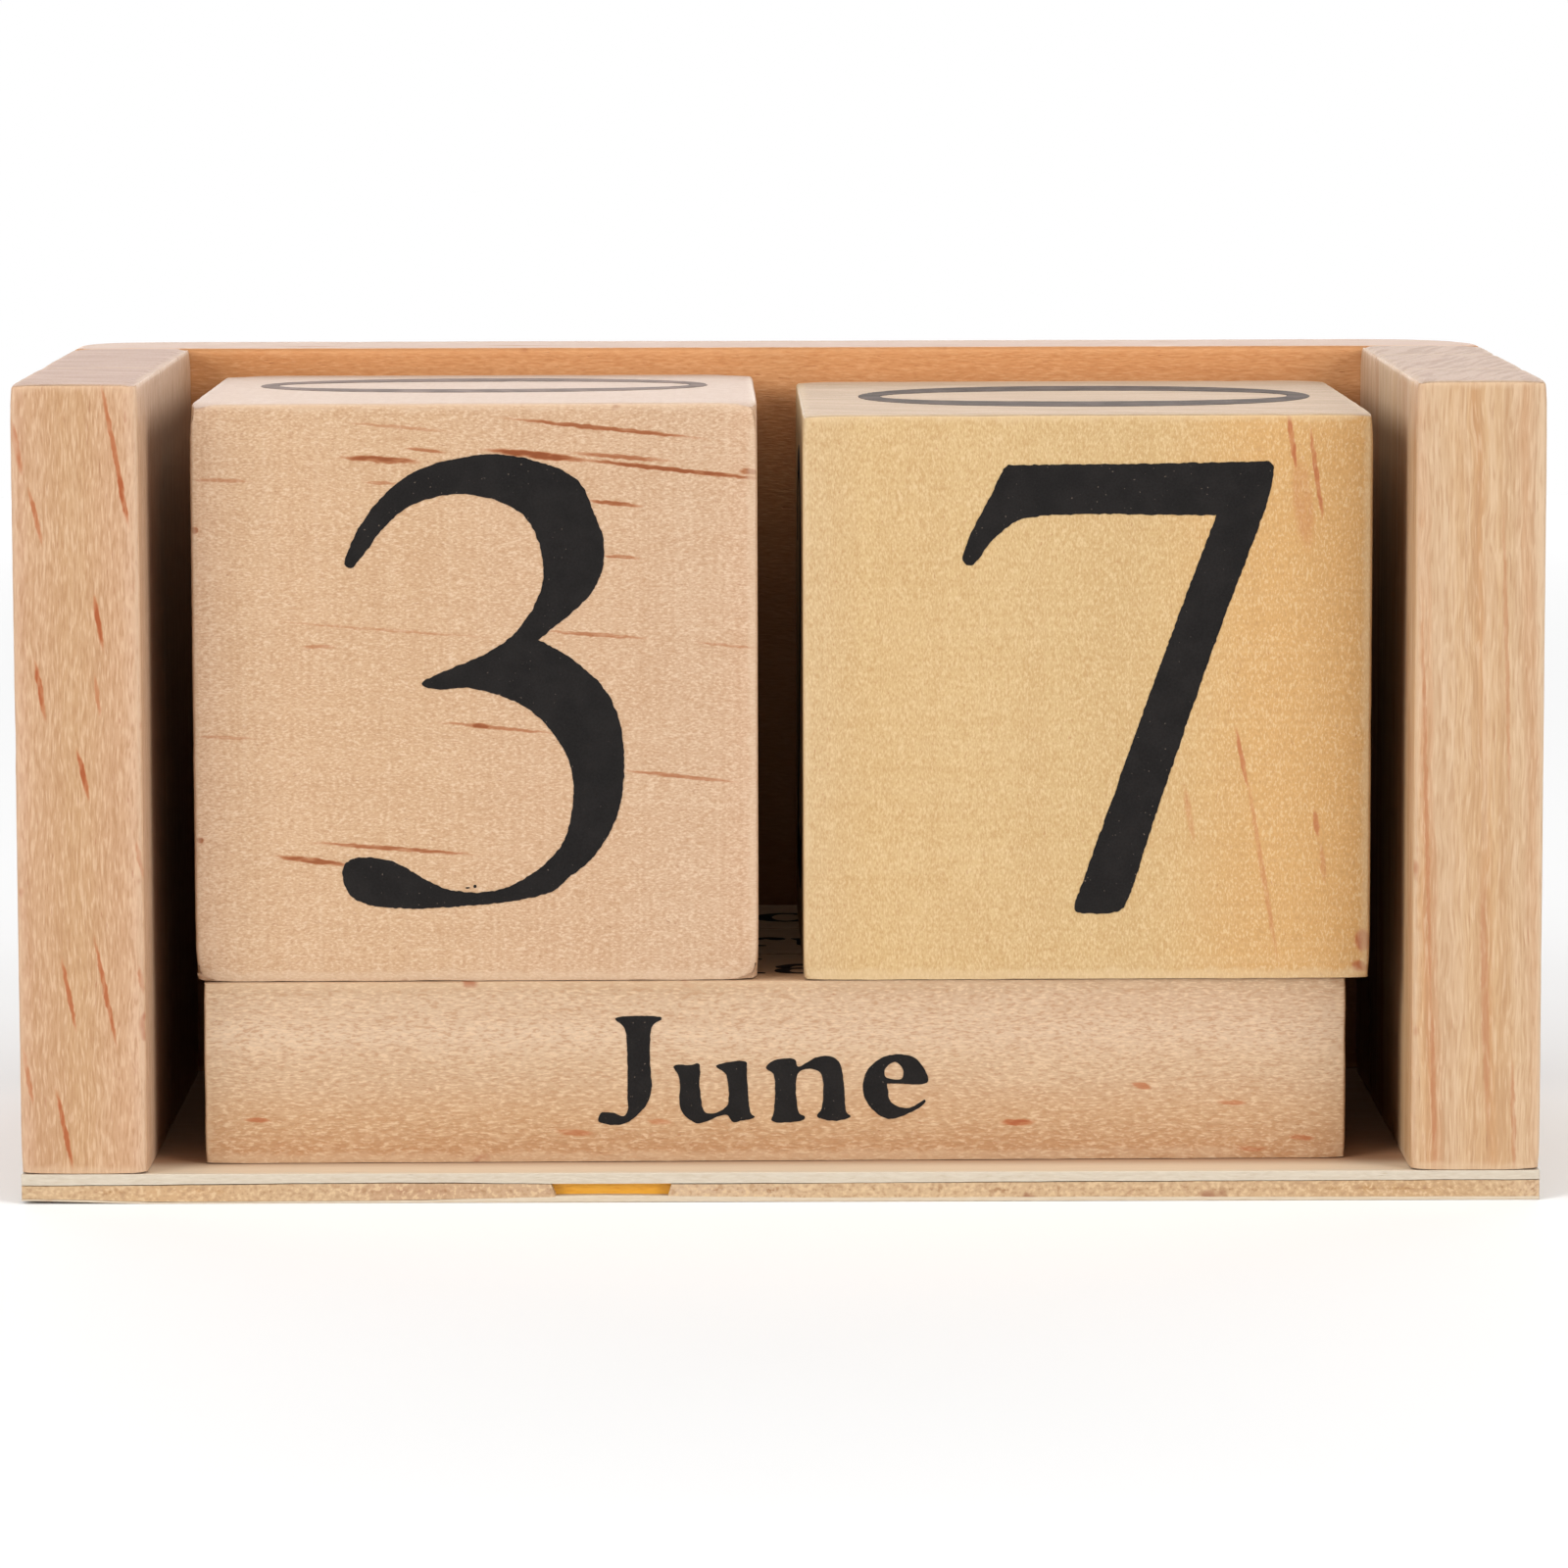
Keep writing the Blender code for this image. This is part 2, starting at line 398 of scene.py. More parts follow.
def end_grain(recipe, timber, bent, fine):
    """Duller ends, with the rings drawn harder. Returns where they are."""
    along = AXES[timber.grain]
    facing = recipe.math("ABSOLUTE", recipe.vector("DOT_PRODUCT", recipe.normal, along))
    end = recipe.fade(facing, 0.6, 0.95)
    outward = Vector(timber.rings).normalized()
    sideways = outward.cross(Vector(along)).normalized()
    radial = recipe.vector("DOT_PRODUCT", bent, tuple(outward))
    around = recipe.vector("DOT_PRODUCT", bent, tuple(sideways * 0.06))
    lay = recipe.add("ShaderNodeCombineXYZ", (radial, around)).outputs[0]
    ridges = recipe.noise((1.3, 1.3, 1.0), timber.seed + 10, source=lay)
    bright = paint(*(value + END_LIFT for value in timber.end))
    cut = recipe.blend(recipe.fade(ridges, 0.42, 0.58), bright, paint(*timber.end))
    cut = recipe.blend(recipe.fade(fine, 0.35, 0.65, 0.3, 0.0), cut, paint(*timber.deep))
    recipe.colour = recipe.blend(recipe.times(end, 0.85), recipe.colour, cut)
    recipe.lift(recipe.times(ridges, end), -4.0)
    return end


def edge_distance(recipe, low, high):
    """Millimetres from the nearest edge of the box between two corners, for a point on a face."""
    below = recipe.vector("SUBTRACT", recipe.place, low)
    above = recipe.vector("SUBTRACT", high, recipe.place)
    x, y, z = recipe.split(recipe.vector("MINIMUM", below, above))
    smaller = recipe.math("MINIMUM", x, y)
    larger = recipe.math("MAXIMUM", x, y)
    return recipe.math("MAXIMUM", smaller, recipe.math("MINIMUM", larger, z))


def edge_wear_and_painted_highlight(recipe, timber, low, high):
    """Paler edges, partly wear and partly painted highlight where the rounded edges catch the light, with
    a few darker bruises. Returns where they are paler.
    """
    distance = edge_distance(recipe, low, high)
    uneven = recipe.noise((0.5,) * 3, timber.seed + 8, 3.0)
    wear_and_sheen = recipe.fade(recipe.math("MULTIPLY_ADD", uneven, -1.6, distance), 0.25, -0.55)
    # Painted highlight mixed with real wear on the edges.
    recipe.tint(recipe.times(wear_and_sheen, 0.5), timber.pale)
    bruise = recipe.fade(recipe.noise((0.22,) * 3, timber.seed + 9), 0.66, 0.74)
    bruise = recipe.times(bruise, recipe.fade(distance, 0.9, 0.15))
    recipe.tint(recipe.times(bruise, 0.7), timber.streak)
    return wear_and_sheen


def wood(name, timber, low, high, extra=None):
    """Material for one block between two corners. extra adds its own tints: figure and painted light."""
    recipe = Recipe(name)
    bent = recipe.warped(0.5, stretched(timber.grain, 0.12, 0.25), timber.seed)
    broad_tone(recipe, timber, bent)
    fine, middling = fibres(recipe, timber, bent)
    if extra:
        extra(recipe)
    resin(recipe, timber, low[1])
    end = end_grain(recipe, timber, bent, fine)
    wear_and_sheen = edge_wear_and_painted_highlight(recipe, timber, low, high)
    rough = recipe.fade(middling, 0.3, 0.7, timber.rough - 0.05, timber.rough + 0.07)
    rough = recipe.math("MULTIPLY_ADD", wear_and_sheen, -0.08, rough)
    rough = recipe.math("MULTIPLY_ADD", end, 0.1, rough)
    return recipe.surface(rough, gloss=0.45, strength=0.8, relief=0.06)


def ink(name, tone, gloss):
    """Matt stamping ink of a linear tone, thin enough in places for the wood to glint through."""
    recipe = Recipe(name)
    broad = recipe.noise((0.35,) * 3, 2)
    fine = recipe.noise((5.0,) * 3, 5)
    deeper = tuple(value * 0.7 for value in tone) + (1,)
    recipe.colour = recipe.blend(recipe.fade(broad, 0.35, 0.65), deeper, tone + (1,))
    speck = recipe.fade(recipe.noise((3.6,) * 3, 8, 1.0), 0.74, 0.8, 0.0, 0.5)
    recipe.colour = recipe.blend(speck, recipe.colour, (0.22, 0.17, 0.13, 1))
    recipe.height = fine
    rough = recipe.fade(fine, 0.3, 0.7, 0.62, 0.8)
    return recipe.surface(rough, gloss, strength=0.4, relief=0.02)


# ---------------------------------------------------------------- wooden blocks

SIDES = (("left", "right"), ("front", "rear"), ("bottom", "top"))
PITCH = 1.6
EASE_ANGLES = (15, 30, 45)
SHOULDER = 0.35
EDGE_REACH = 0.9
SHARPEST_SMOOTH = math.radians(50)


def lines(low, high, ease_low, ease_high):
    """Places of the mesh lines along one side, closer together over the eased ends."""
    inner_low = low + ease_low
    inner_high = high - ease_high
    count = max(1, round((inner_high - inner_low) / PITCH))
    places = [inner_low + (inner_high - inner_low) * step / count for step in range(count + 1)]
    bends = [1 - math.tan(math.radians(angle)) for angle in EASE_ANGLES]
    if ease_low:
        places += [low + ease_low * bend for bend in bends] + [inner_low + SHOULDER]
    if ease_high:
        places += [high - ease_high * bend for bend in bends] + [inner_high - SHOULDER]
    return sorted(places)


def lattice(shape, xs, ys, zs):
    """Closed box surface with a vertex wherever the mesh lines cross."""
    made = {}

    def vert(*key):
        if key not in made:
            made[key] = shape.verts.new((xs[key[0]], ys[key[1]], zs[key[2]]))
        return made[key]

    last = (len(xs) - 1, len(ys) - 1, len(zs) - 1)
    for axis in range(3):
        first_side, second_side = [side for side in range(3) if side != axis]
        for end in (0, last[axis]):
            for i in range(last[first_side]):
                for j in range(last[second_side]):
                    ring = []
                    for step_i, step_j in ((0, 0), (1, 0), (1, 1), (0, 1)):
                        key = [0, 0, 0]
                        key[axis] = end
                        key[first_side] = i + step_i
                        key[second_side] = j + step_j
                        ring.append(vert(*key))
                    outward = (end > 0) != (axis == 1)
                    shape.faces.new(ring if outward else ring[::-1])


class Block:
    """A worn block of wood between two corners, in millimetres.

    ease is the edges' radius, which eases changes side by side, and glued sides have none. corners
    are the radii of upright edges. flat, ragged, nick and corner_wear are depths of wear. relief
    moves each point after that.
    """

    USUAL = dict(
        ease=0.45, glued=(), eases={}, corners={}, turn=0.0, relief=None, flat=0.03, ragged=0.07,
        nick=0.3, corner_wear=0.0,
    )

    def __init__(self, low, high, **make):
        vars(self).update({**self.USUAL, **make})
        self.low = Vector(low)
        self.high = Vector(high)

    def side_ease(self, side):
        return self.eases.get(side, 0.0 if side in self.glued else self.ease)

    def inset(self, place):
        """Nearest point of the box that lies inside the eased edges, side by side."""
        near = Vector(place)
        for axis, (under, over) in enumerate(SIDES):
            least = self.low[axis] + self.side_ease(under)
            most = self.high[axis] - self.side_ease(over)
            near[axis] = min(max(place[axis], least), most)
        return near

    def rounded(self, place):
        """A point of the sharp box, moved on to the eased and rounded one."""
        place = Vector(place)
        near = self.inset(place)
        gap = place - near
        side = max(abs(gap.x), abs(gap.y))
        if side > 0 and gap.z:
            share = max(side, abs(gap.z)) / math.hypot(side, gap.z)
            gap *= share
            place = near + gap
        for name, radius in self.corner_radii():
            x_sign = -1 if "left" in name else 1
            y_sign = -1 if "front" in name else 1
            centre_x = (self.low.x if x_sign < 0 else self.high.x) - x_sign * radius
            centre_y = (self.low.y if y_sign < 0 else self.high.y) - y_sign * radius
            x = place.x - centre_x
            y = place.y - centre_y
            if x * x_sign > 0 and y * y_sign > 0:
                share = max(abs(x), abs(y)) / math.hypot(x, y)
                place.x = centre_x + x * share
                place.y = centre_y + y * share
        return place

    def corner_radii(self):
        for fore in ("front", "rear"):
            for side in ("left", "right"):
                name = fore + "_" + side
                loose = fore not in self.glued and side not in self.glued
                yield name, self.corners.get(name, self.ease if loose else 0.0)

    def edge_distances(self, place):
        """Distances to the nearest face, edge and corner, counted along the sides."""
        gaps = [min(place[axis] - self.low[axis], self.high[axis] - place[axis]) for axis in range(3)]
        return sorted(max(gap, 0.0) for gap in gaps)

    def wear(self, place):
        """Millimetres that use and sanding have taken off at a place."""
        _, distance, corner = self.edge_distances(place)
        loss = self.flat * (0.5 + 0.5 * noise.noise(place * 0.06))
        near = math.exp(-distance / EDGE_REACH)
        loss += self.corner_wear * math.exp(-math.hypot(distance, corner) / EDGE_REACH)
        loss += self.ragged * near * (0.5 + 0.5 * noise.noise(place * 0.55 + Vector((9, 0, 4))))
        chip = max(0.0, noise.noise(place * 0.23 + Vector((3, 7, 1))) - 0.35)
        loss += self.nick * near * chip
        return loss

    def mesh(self, name):
        shape = bmesh.new()
        lattice(shape, *(
            lines(self.low[axis], self.high[axis], self.side_ease(under), self.side_ease(over))
            for axis, (under, over) in enumerate(SIDES)
        ))
        for vert in shape.verts:
            vert.co = self.rounded(vert.co)
        shape.normal_update()
        moved = [vert.co - vert.normal * self.wear(vert.co) for vert in shape.verts]
        for vert, place in zip(shape.verts, moved):
            vert.co = self.relief(place) if self.relief else place
        middle = (self.low + self.high) / 2
        turn = Matrix.Rotation(self.turn, 4, "Z")
        spin = Matrix.Translation(middle) @ turn @ Matrix.Translation(-middle)
        bmesh.ops.transform(shape, matrix=spin, verts=shape.verts)
        bmesh.ops.scale(shape, vec=(MM,) * 3, verts=shape.verts)
        made = bpy.data.meshes.new(name)
        shape.to_mesh(made)
        shape.free()
        made.shade_smooth()
        made.set_sharp_from_angle(angle=SHARPEST_SMOOTH)
        return made


def add_piece(name, mesh, material, body, replaced=()):
    piece = bpy.data.objects.new(name, mesh)
    bpy.context.scene.collection.objects.link(piece)
    mesh.materials.append(material)
    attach(piece, body)
    if replaced:
        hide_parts(*replaced)


def node_box(node):
    low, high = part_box(node)
    return low / MM, high / MM


# ---------------------------------------------------------------- printed figures

# A printed figure is a list of parts. Each part is an outline and the hole in it, if it has one.

INK_HEIGHT = 0.03
INK_DEPTH = 0.08
SQUARENESS = 0.93
LETTER_GAP = 1.2


def smooth_loop(points, step):
    """Closed curve through the points, bending smoothly except at those with a third value."""
    count = len(points)
    curve = []
    for index in range(count):
        before, here, after, beyond = (points[(index + shift) % count] for shift in (-1, 0, 1, 2))
        start = Vector(here[:2])
        end = Vector(after[:2])
        lead = 2 * start - end if len(here) > 2 else Vector(before[:2])
        trail = 2 * end - start if len(after) > 2 else Vector(beyond[:2])
        first = math.sqrt((start - lead).length)
        middle = math.sqrt((end - start).length)
        last = math.sqrt((trail - end).length)
        leaving = (start - lead) / first - (end - lead) / (first + middle) + (end - start) / middle
        arriving = (end - start) / middle - (trail - start) / (middle + last) + (trail - end) / last
        leaving *= middle
        arriving *= middle
        pieces = max(1, round((end - start).length / step))
        for part in range(pieces):
            share = part / pieces
            square = share * share
            cube = square * share
            curve.append(
                start * (2 * cube - 3 * square + 1)
                + leaving * (cube - 2 * square + share)
                + end * (3 * square - 2 * cube)
                + arriving * (cube - square)
            )
    return curve


def stroke(points, step):
    """Outline of a pen stroke through (x, y, width) points, with round ends."""
    line = []
    for index in range(len(points) - 1):
        before = points[max(index - 1, 0)]
        here = points[index]
        after = points[index + 1]
        beyond = points[min(index + 2, len(points) - 1)]
        pieces = max(2, round(math.dist(here[:2], after[:2]) / step))
        for part in range(pieces + (index == len(points) - 2)):
            share = part / pieces
            line.append([
                0.5 * (
                    2 * here[axis]
                    + (after[axis] - before[axis]) * share
                    + (2 * before[axis] - 5 * here[axis] + 4 * after[axis] - beyond[axis]) * share ** 2
                    + (3 * here[axis] - before[axis] - 3 * after[axis] + beyond[axis]) * share ** 3
                )
                for axis in range(3)
            ])
    left = []
    right = []
    for index, (x, y, width) in enumerate(line):
        ahead = line[min(index + 1, len(line) - 1)]
        behind = line[max(index - 1, 0)]
        heading = Vector((ahead[0] - behind[0], ahead[1] - behind[1])).normalized()
        side = Vector((-heading.y, heading.x)) * width / 2
        left.append(Vector((x, y)) + side)
        right.append(Vector((x, y)) - side)
    return left + end_cap(line[-1], line[-2]) + right[::-1] + end_cap(line[0], line[1])


def end_cap(tip, inner):
    """Half circle round the end of a stroke."""
    heading = math.atan2(tip[1] - inner[1], tip[0] - inner[0])
    radius = tip[2] / 2
    angles = [heading + math.pi / 2 - math.pi * step / 6 for step in range(1, 6)]
    return [Vector((tip[0] + math.cos(a) * radius, tip[1] + math.sin(a) * radius)) for a in angles]


def oval(x, y, half_width, half_height, step):
    """Slightly squared ellipse."""
    count = max(16, round(2 * math.pi * (half_width + half_height) / 2 / step))
    loop = []
    for index in range(count):
        cosine = math.cos(2 * math.pi * index / count)
        sine = math.sin(2 * math.pi * index / count)
        loop.append(Vector((
            x + half_width * math.copysign(abs(cosine) ** SQUARENESS, cosine),
            y + half_height * math.copysign(abs(sine) ** SQUARENESS, sine),
        )))
    return loop


def outlined(points, hole, step):
    return [(smooth_loop(points, step), smooth_loop(hole, step) if hole else None)]


def ring(x, y, half_width, half_height, wall, cap, step):
    """Oval ring with thick sides and thin ends, as in the round parts of serif letters."""
    inside = oval(x, y, half_width - wall, half_height - cap, step)
    return [(oval(x, y, half_width, half_height, step), inside)]


def drawn(strokes, rings, step):
    parts = [(stroke(points, step), None) for points in strokes]
    for sizes in rings:
        parts += ring(*sizes, step)
    return parts


def roughened(loop, reach, seed):
    """The loop with the slightly uneven edge that a rubber stamp leaves."""
    made = []
    count = len(loop)
    for index, place in enumerate(loop):
        heading = loop[(index + 1) % count] - loop[index - 1]
        out = Vector((heading.y, -heading.x)).normalized()
        spot = Vector((place.x * 0.55, place.y * 0.55, seed))
        push = 0.5 * noise.noise(spot) + 1.3 * noise.noise(spot * 4.3)
        made.append(place + out * reach * push)
    return made


def contains(loop, x, y):
    inside = False
    last = loop[-1]
    for here in loop:
        if (here.y > y) != (last.y > y):
            if x < (last.x - here.x) * (y - here.y) / (last.y - here.y) + here.x:
                inside = not inside
        last = here
    return inside


def film(shape, parts, place):
    """Thin closed film over all the parts together. place maps (x, y, height) to metres."""
    corners = []
    sides = []
    for loop in [loop for part in parts for loop in part if loop]:
        first = len(corners)
        corners += loop
        sides += [(first + step, first + (step + 1) % len(loop)) for step in range(len(loop))]
    flat, _, faces, _, _, _ = geometry.delaunay_2d_cdt(corners, sides, [], 0, 1e-5)
    kept = []
    for face in faces:
        x = sum(flat[corner].x for corner in face) / 3
        y = sum(flat[corner].y for corner in face) / 3
        if any(contains(loop, x, y) and not (hole and contains(hole, x, y)) for loop, hole in parts):
            kept.append(face)
    used = {corner for face in kept for corner in face}
    over = {corner: shape.verts.new(place(*flat[corner], INK_HEIGHT)) for corner in used}
    under = {corner: shape.verts.new(place(*flat[corner], -INK_DEPTH)) for corner in used}
    directed = {(face[i], face[(i + 1) % 3]) for face in kept for i in range(3)}
    for face in kept:
        shape.faces.new([over[corner] for corner in face])
        shape.faces.new([under[corner] for corner in reversed(face)])
    for start, end in directed:
        if (end, start) not in directed:
            shape.faces.new([over[end], over[start], under[start], under[end]])


def print_figure(shape, parts, place, reach, seed):
    uneven = [
        [roughened(loop, reach, seed + index) if loop else None for index, loop in enumerate(part)]
        for part in parts
    ]
    film(shape, uneven, place)


# Outlines in millimetres, for digits from their own middle and for letters from the left end of
# the baseline. A third value marks a sharp corner.
THREE = (
    (-13.9, 11.9), (-13.4, 13.6), (-11.8, 16.5), (-9, 19.6), (-6.3, 21.3), (0.5, 22.7), (5, 22),
    (9, 20.2), (10.6, 17.2), (11.7, 13.5), (10.7, 9.4), (5.2, 4.3, 1), (8.5, 2.4), (11.6, -0.5),
    (13.3, -4.5), (13.1, -12.3), (10.4, -17.4), (8.1, -19.3), (6, -20.9), (-10, -22.3),
    (-13.5, -21.2), (-14.4, -18.5), (-13.4, -17.4), (-9.8, -17.6), (-3.9, -20.5), (1.6, -20.4),
    (6.9, -16.7), (8.3, -13.2), (8.4, -9), (7.1, -5.8), (4.2, -2.6), (-1.2, -0.5), (-5.4, -0.5),
    (-6.4, 0), (0.1, 3.1), (3, 5.2), (5.5, 9.5), (5.4, 13.4), (3.5, 16.9), (-2.2, 18.8), (-7, 17.8),
    (-9.4, 16.1), (-12.7, 12), (-13.3, 11.5),
)
THREE_DROPS = ((-2.0, -20.35, 0.24, 0.12), (-1.3, -20.2, 0.12, 0.14))
SEVEN = (
    (-11.8, 21.6, 1), (-11.3, 22, 1), (2, 22.1), (14.4, 22.3, 1), (14.9, 21.9, 1), (14.5, 19.2),
    (10, 6.7), (2.6, -15), (1.2, -19.6), (0.2, -22), (-0.7, -22.5), (-4.6, -22.3), (-4.6, -21.5),
    (-4, -19.8), (4.6, 4.5), (9.2, 17, 1), (-9.3, 16.8), (-11.4, 15.9), (-13.3, 14.1), (-14.9, 12.1),
    (-15.8, 12.5),
)
STROKED_DIGITS = {
    "0": ((), ((0, 0, 13.6, 23, 5.9, 2.3),)),
    "1": ((
        ((0.6, 20.6, 4.6), (0.6, 0, 5.2), (0.6, -20, 5.4)),
        ((-6.6, -21.7, 1.4), (0.6, -21.2, 2.6), (7.8, -21.7, 1.4)),
        ((1.4, 21, 3), (-3.2, 18.9, 2.2), (-7.4, 17.6, 1)),
    ), ()),
    "2": ((
        ((-11.2, 12.6, 1.5), (-8.4, 18.2, 2.4), (-1, 21.2, 2.8), (6.2, 18.2, 4.8), (8.2, 11.6, 5.4),
         (5, 3.2, 4.4), (-3.4, -8.4, 3), (-11, -18, 2.6)),
        ((-11, -19.8, 4.6), (0, -19.9, 4.8), (9, -19.6, 4.2), (13, -15.2, 1.2)),
    ), ()),
    "4": ((
        ((4.6, 20.8, 3.2), (-4.4, 6.2, 2.4), (-13, -8.4, 2.2)),
        ((-13.6, -9.4, 2.8), (0, -9.4, 2.8), (12.8, -9.4, 2.6)),
        ((5.6, 20.8, 5), (5.6, 0, 5.2), (5.6, -20.4, 5.2)),
        ((0.6, -21.8, 1.2), (5.6, -21.4, 2), (10.8, -21.8, 1.2)),
    ), ()),
    "5": ((
        ((-6.4, 19.6, 4), (3, 19.9, 4.2), (10.6, 21.4, 1.8)),
        ((-7.2, 19.6, 2.4), (-8, 11, 2), (-8.6, 3.4, 1.8)),
        ((-8.6, 3.4, 1.6), (-1, 5.7, 3), (7, 2.6, 5), (10.4, -5.6, 5.6), (6.6, -15.6, 4.6),
         (-2, -20.7, 2.8), (-10.6, -20.2, 3.8)),
    ), ()),
    "6": ((
        ((9.4, 21.4, 1.3), (0, 17.2, 3.4), (-7.4, 8.6, 5), (-10, -3, 5.4)),
    ), ((0, -8.6, 12.6, 13.4, 5.2, 2.2),)),
    "8": ((), ((0, 11.6, 9.8, 11, 4.4, 2.2), (0, -10.2, 12.2, 12.4, 5.2, 2.3))),
}

# Each letter's advance, its outline and its hole.
TRACED_LETTERS = {
    "J": (7.5, (
        (1.5, 10.3), (6.05, 10.4), (6.1, 10.2), (5.3, 9.7), (5, 8.8), (5, 4.8), (5.1, 3.5), (4.5, 1.55),
        (2.3, -0.3), (-0.2, 0), (0, 0.8), (1.4, 0.8), (2.3, 0.5), (2.7, 1.1), (2.7, 2.8), (2.55, 9),
        (2.25, 9.6),
    ), None),
    "u": (9.2, (
        (-0.2, 5.5), (1.4, 5.6), (2.3, 5.7), (2.35, 3.7), (2.8, 1), (3.35, 0.7), (5.05, 1.4), (5.1, 4.4),
        (4.9, 4.8), (4, 5.5), (7, 5.9), (7.05, 5.3), (7.45, 0.75), (7.85, 0.35), (7.7, 0.2), (6.4, -0.05),
        (5.7, -0.2), (5.15, 0.5), (4.3, 0.45), (3.4, 0.05), (2.95, -0.15), (2, -0.25), (0.55, 1),
        (0.35, 4.4),
    ), None),
    "n": (9.7, (
        (-0.2, 5.3), (0.55, 6), (2.65, 6.1), (2.95, 5.4), (4.7, 6.25), (6, 6.45), (6.9, 6), (7.3, 5.25),
        (7.6, 2.6), (7.8, 0.7), (8.2, 0.35), (6.6, -0.1), (4.85, 0.4), (5.3, 1.15), (5.15, 4.8),
        (3.55, 5.1), (2.9, 4.6), (3.1, 0.65), (3.6, 0.35), (3.5, 0.05), (0.3, -0.05), (0.55, 0.85),
        (0.6, 4.4), (0.35, 4.8),
    ), None),
    "e": (7.6, (
        (0.05, 4.8), (2, 6.4), (4.35, 6.45), (5.45, 5.7), (6.25, 4.1), (6.1, 3.7), (2.1, 3.65, 1),
        (2.5, 1.8), (4.25, 1.15), (5.9, 2), (5.95, 1.8), (5.35, 1.2), (2.2, 0.1), (-0.05, 2.1),
    ), ((1.9, 5), (2.95, 5.8), (3.75, 5), (3.5, 4.1), (2, 4.3))),
}


STEM = 2.3
X_HEIGHT = 6.3


def stem(x, low, high, slab=1.9):
    """Upright stroke with a slab foot and a flag at the top left."""
    return (
        ((x, low + 0.9, STEM), (x, (low + high) / 2, STEM), (x, high - 1.0, STEM)),
        ((x - slab, low + 0.3, 0.55), (x, low + 0.55, 1.0), (x + slab, low + 0.3, 0.55)),
        ((x - slab, high - 0.75, 0.5), (x - 0.9, high - 0.5, 0.85), (x + 0.7, high - 0.4, 0.8)),
    )


def arch(x, end):
    """Shoulder from a stem at x to a foot at end."""
    return (
        ((x + 0.6, X_HEIGHT - 1.7, 0.8), ((x + end) / 2 + 0.2, X_HEIGHT - 0.55, 1.2),
         (end - 0.1, X_HEIGHT - 1.8, 2.1), (end, X_HEIGHT - 3.4, STEM), (end, 0.9, STEM)),
        ((end - 1.7, 0.3, 0.55), (end, 0.55, 1.0), (end + 1.7, 0.3, 0.55)),
    )


CAPITAL_STEM = stem(2.2, 0, 10.3)
THIN_FOOT = ((0.3, 0.3, 0.6), (2, 0.35, 0.7), (3.7, 0.3, 0.6))
FORK_TOPS = (
    ((0, 5.9, 0.6), (1.4, 5.9, 0.7), (3, 5.9, 0.6)), ((5, 5.9, 0.6), (6.2, 5.9, 0.7), (7.4, 5.9, 0.6)),
)
BOWL = ((4.2, 3.1, 3.2, 3.3, 1.7, 0.6),)

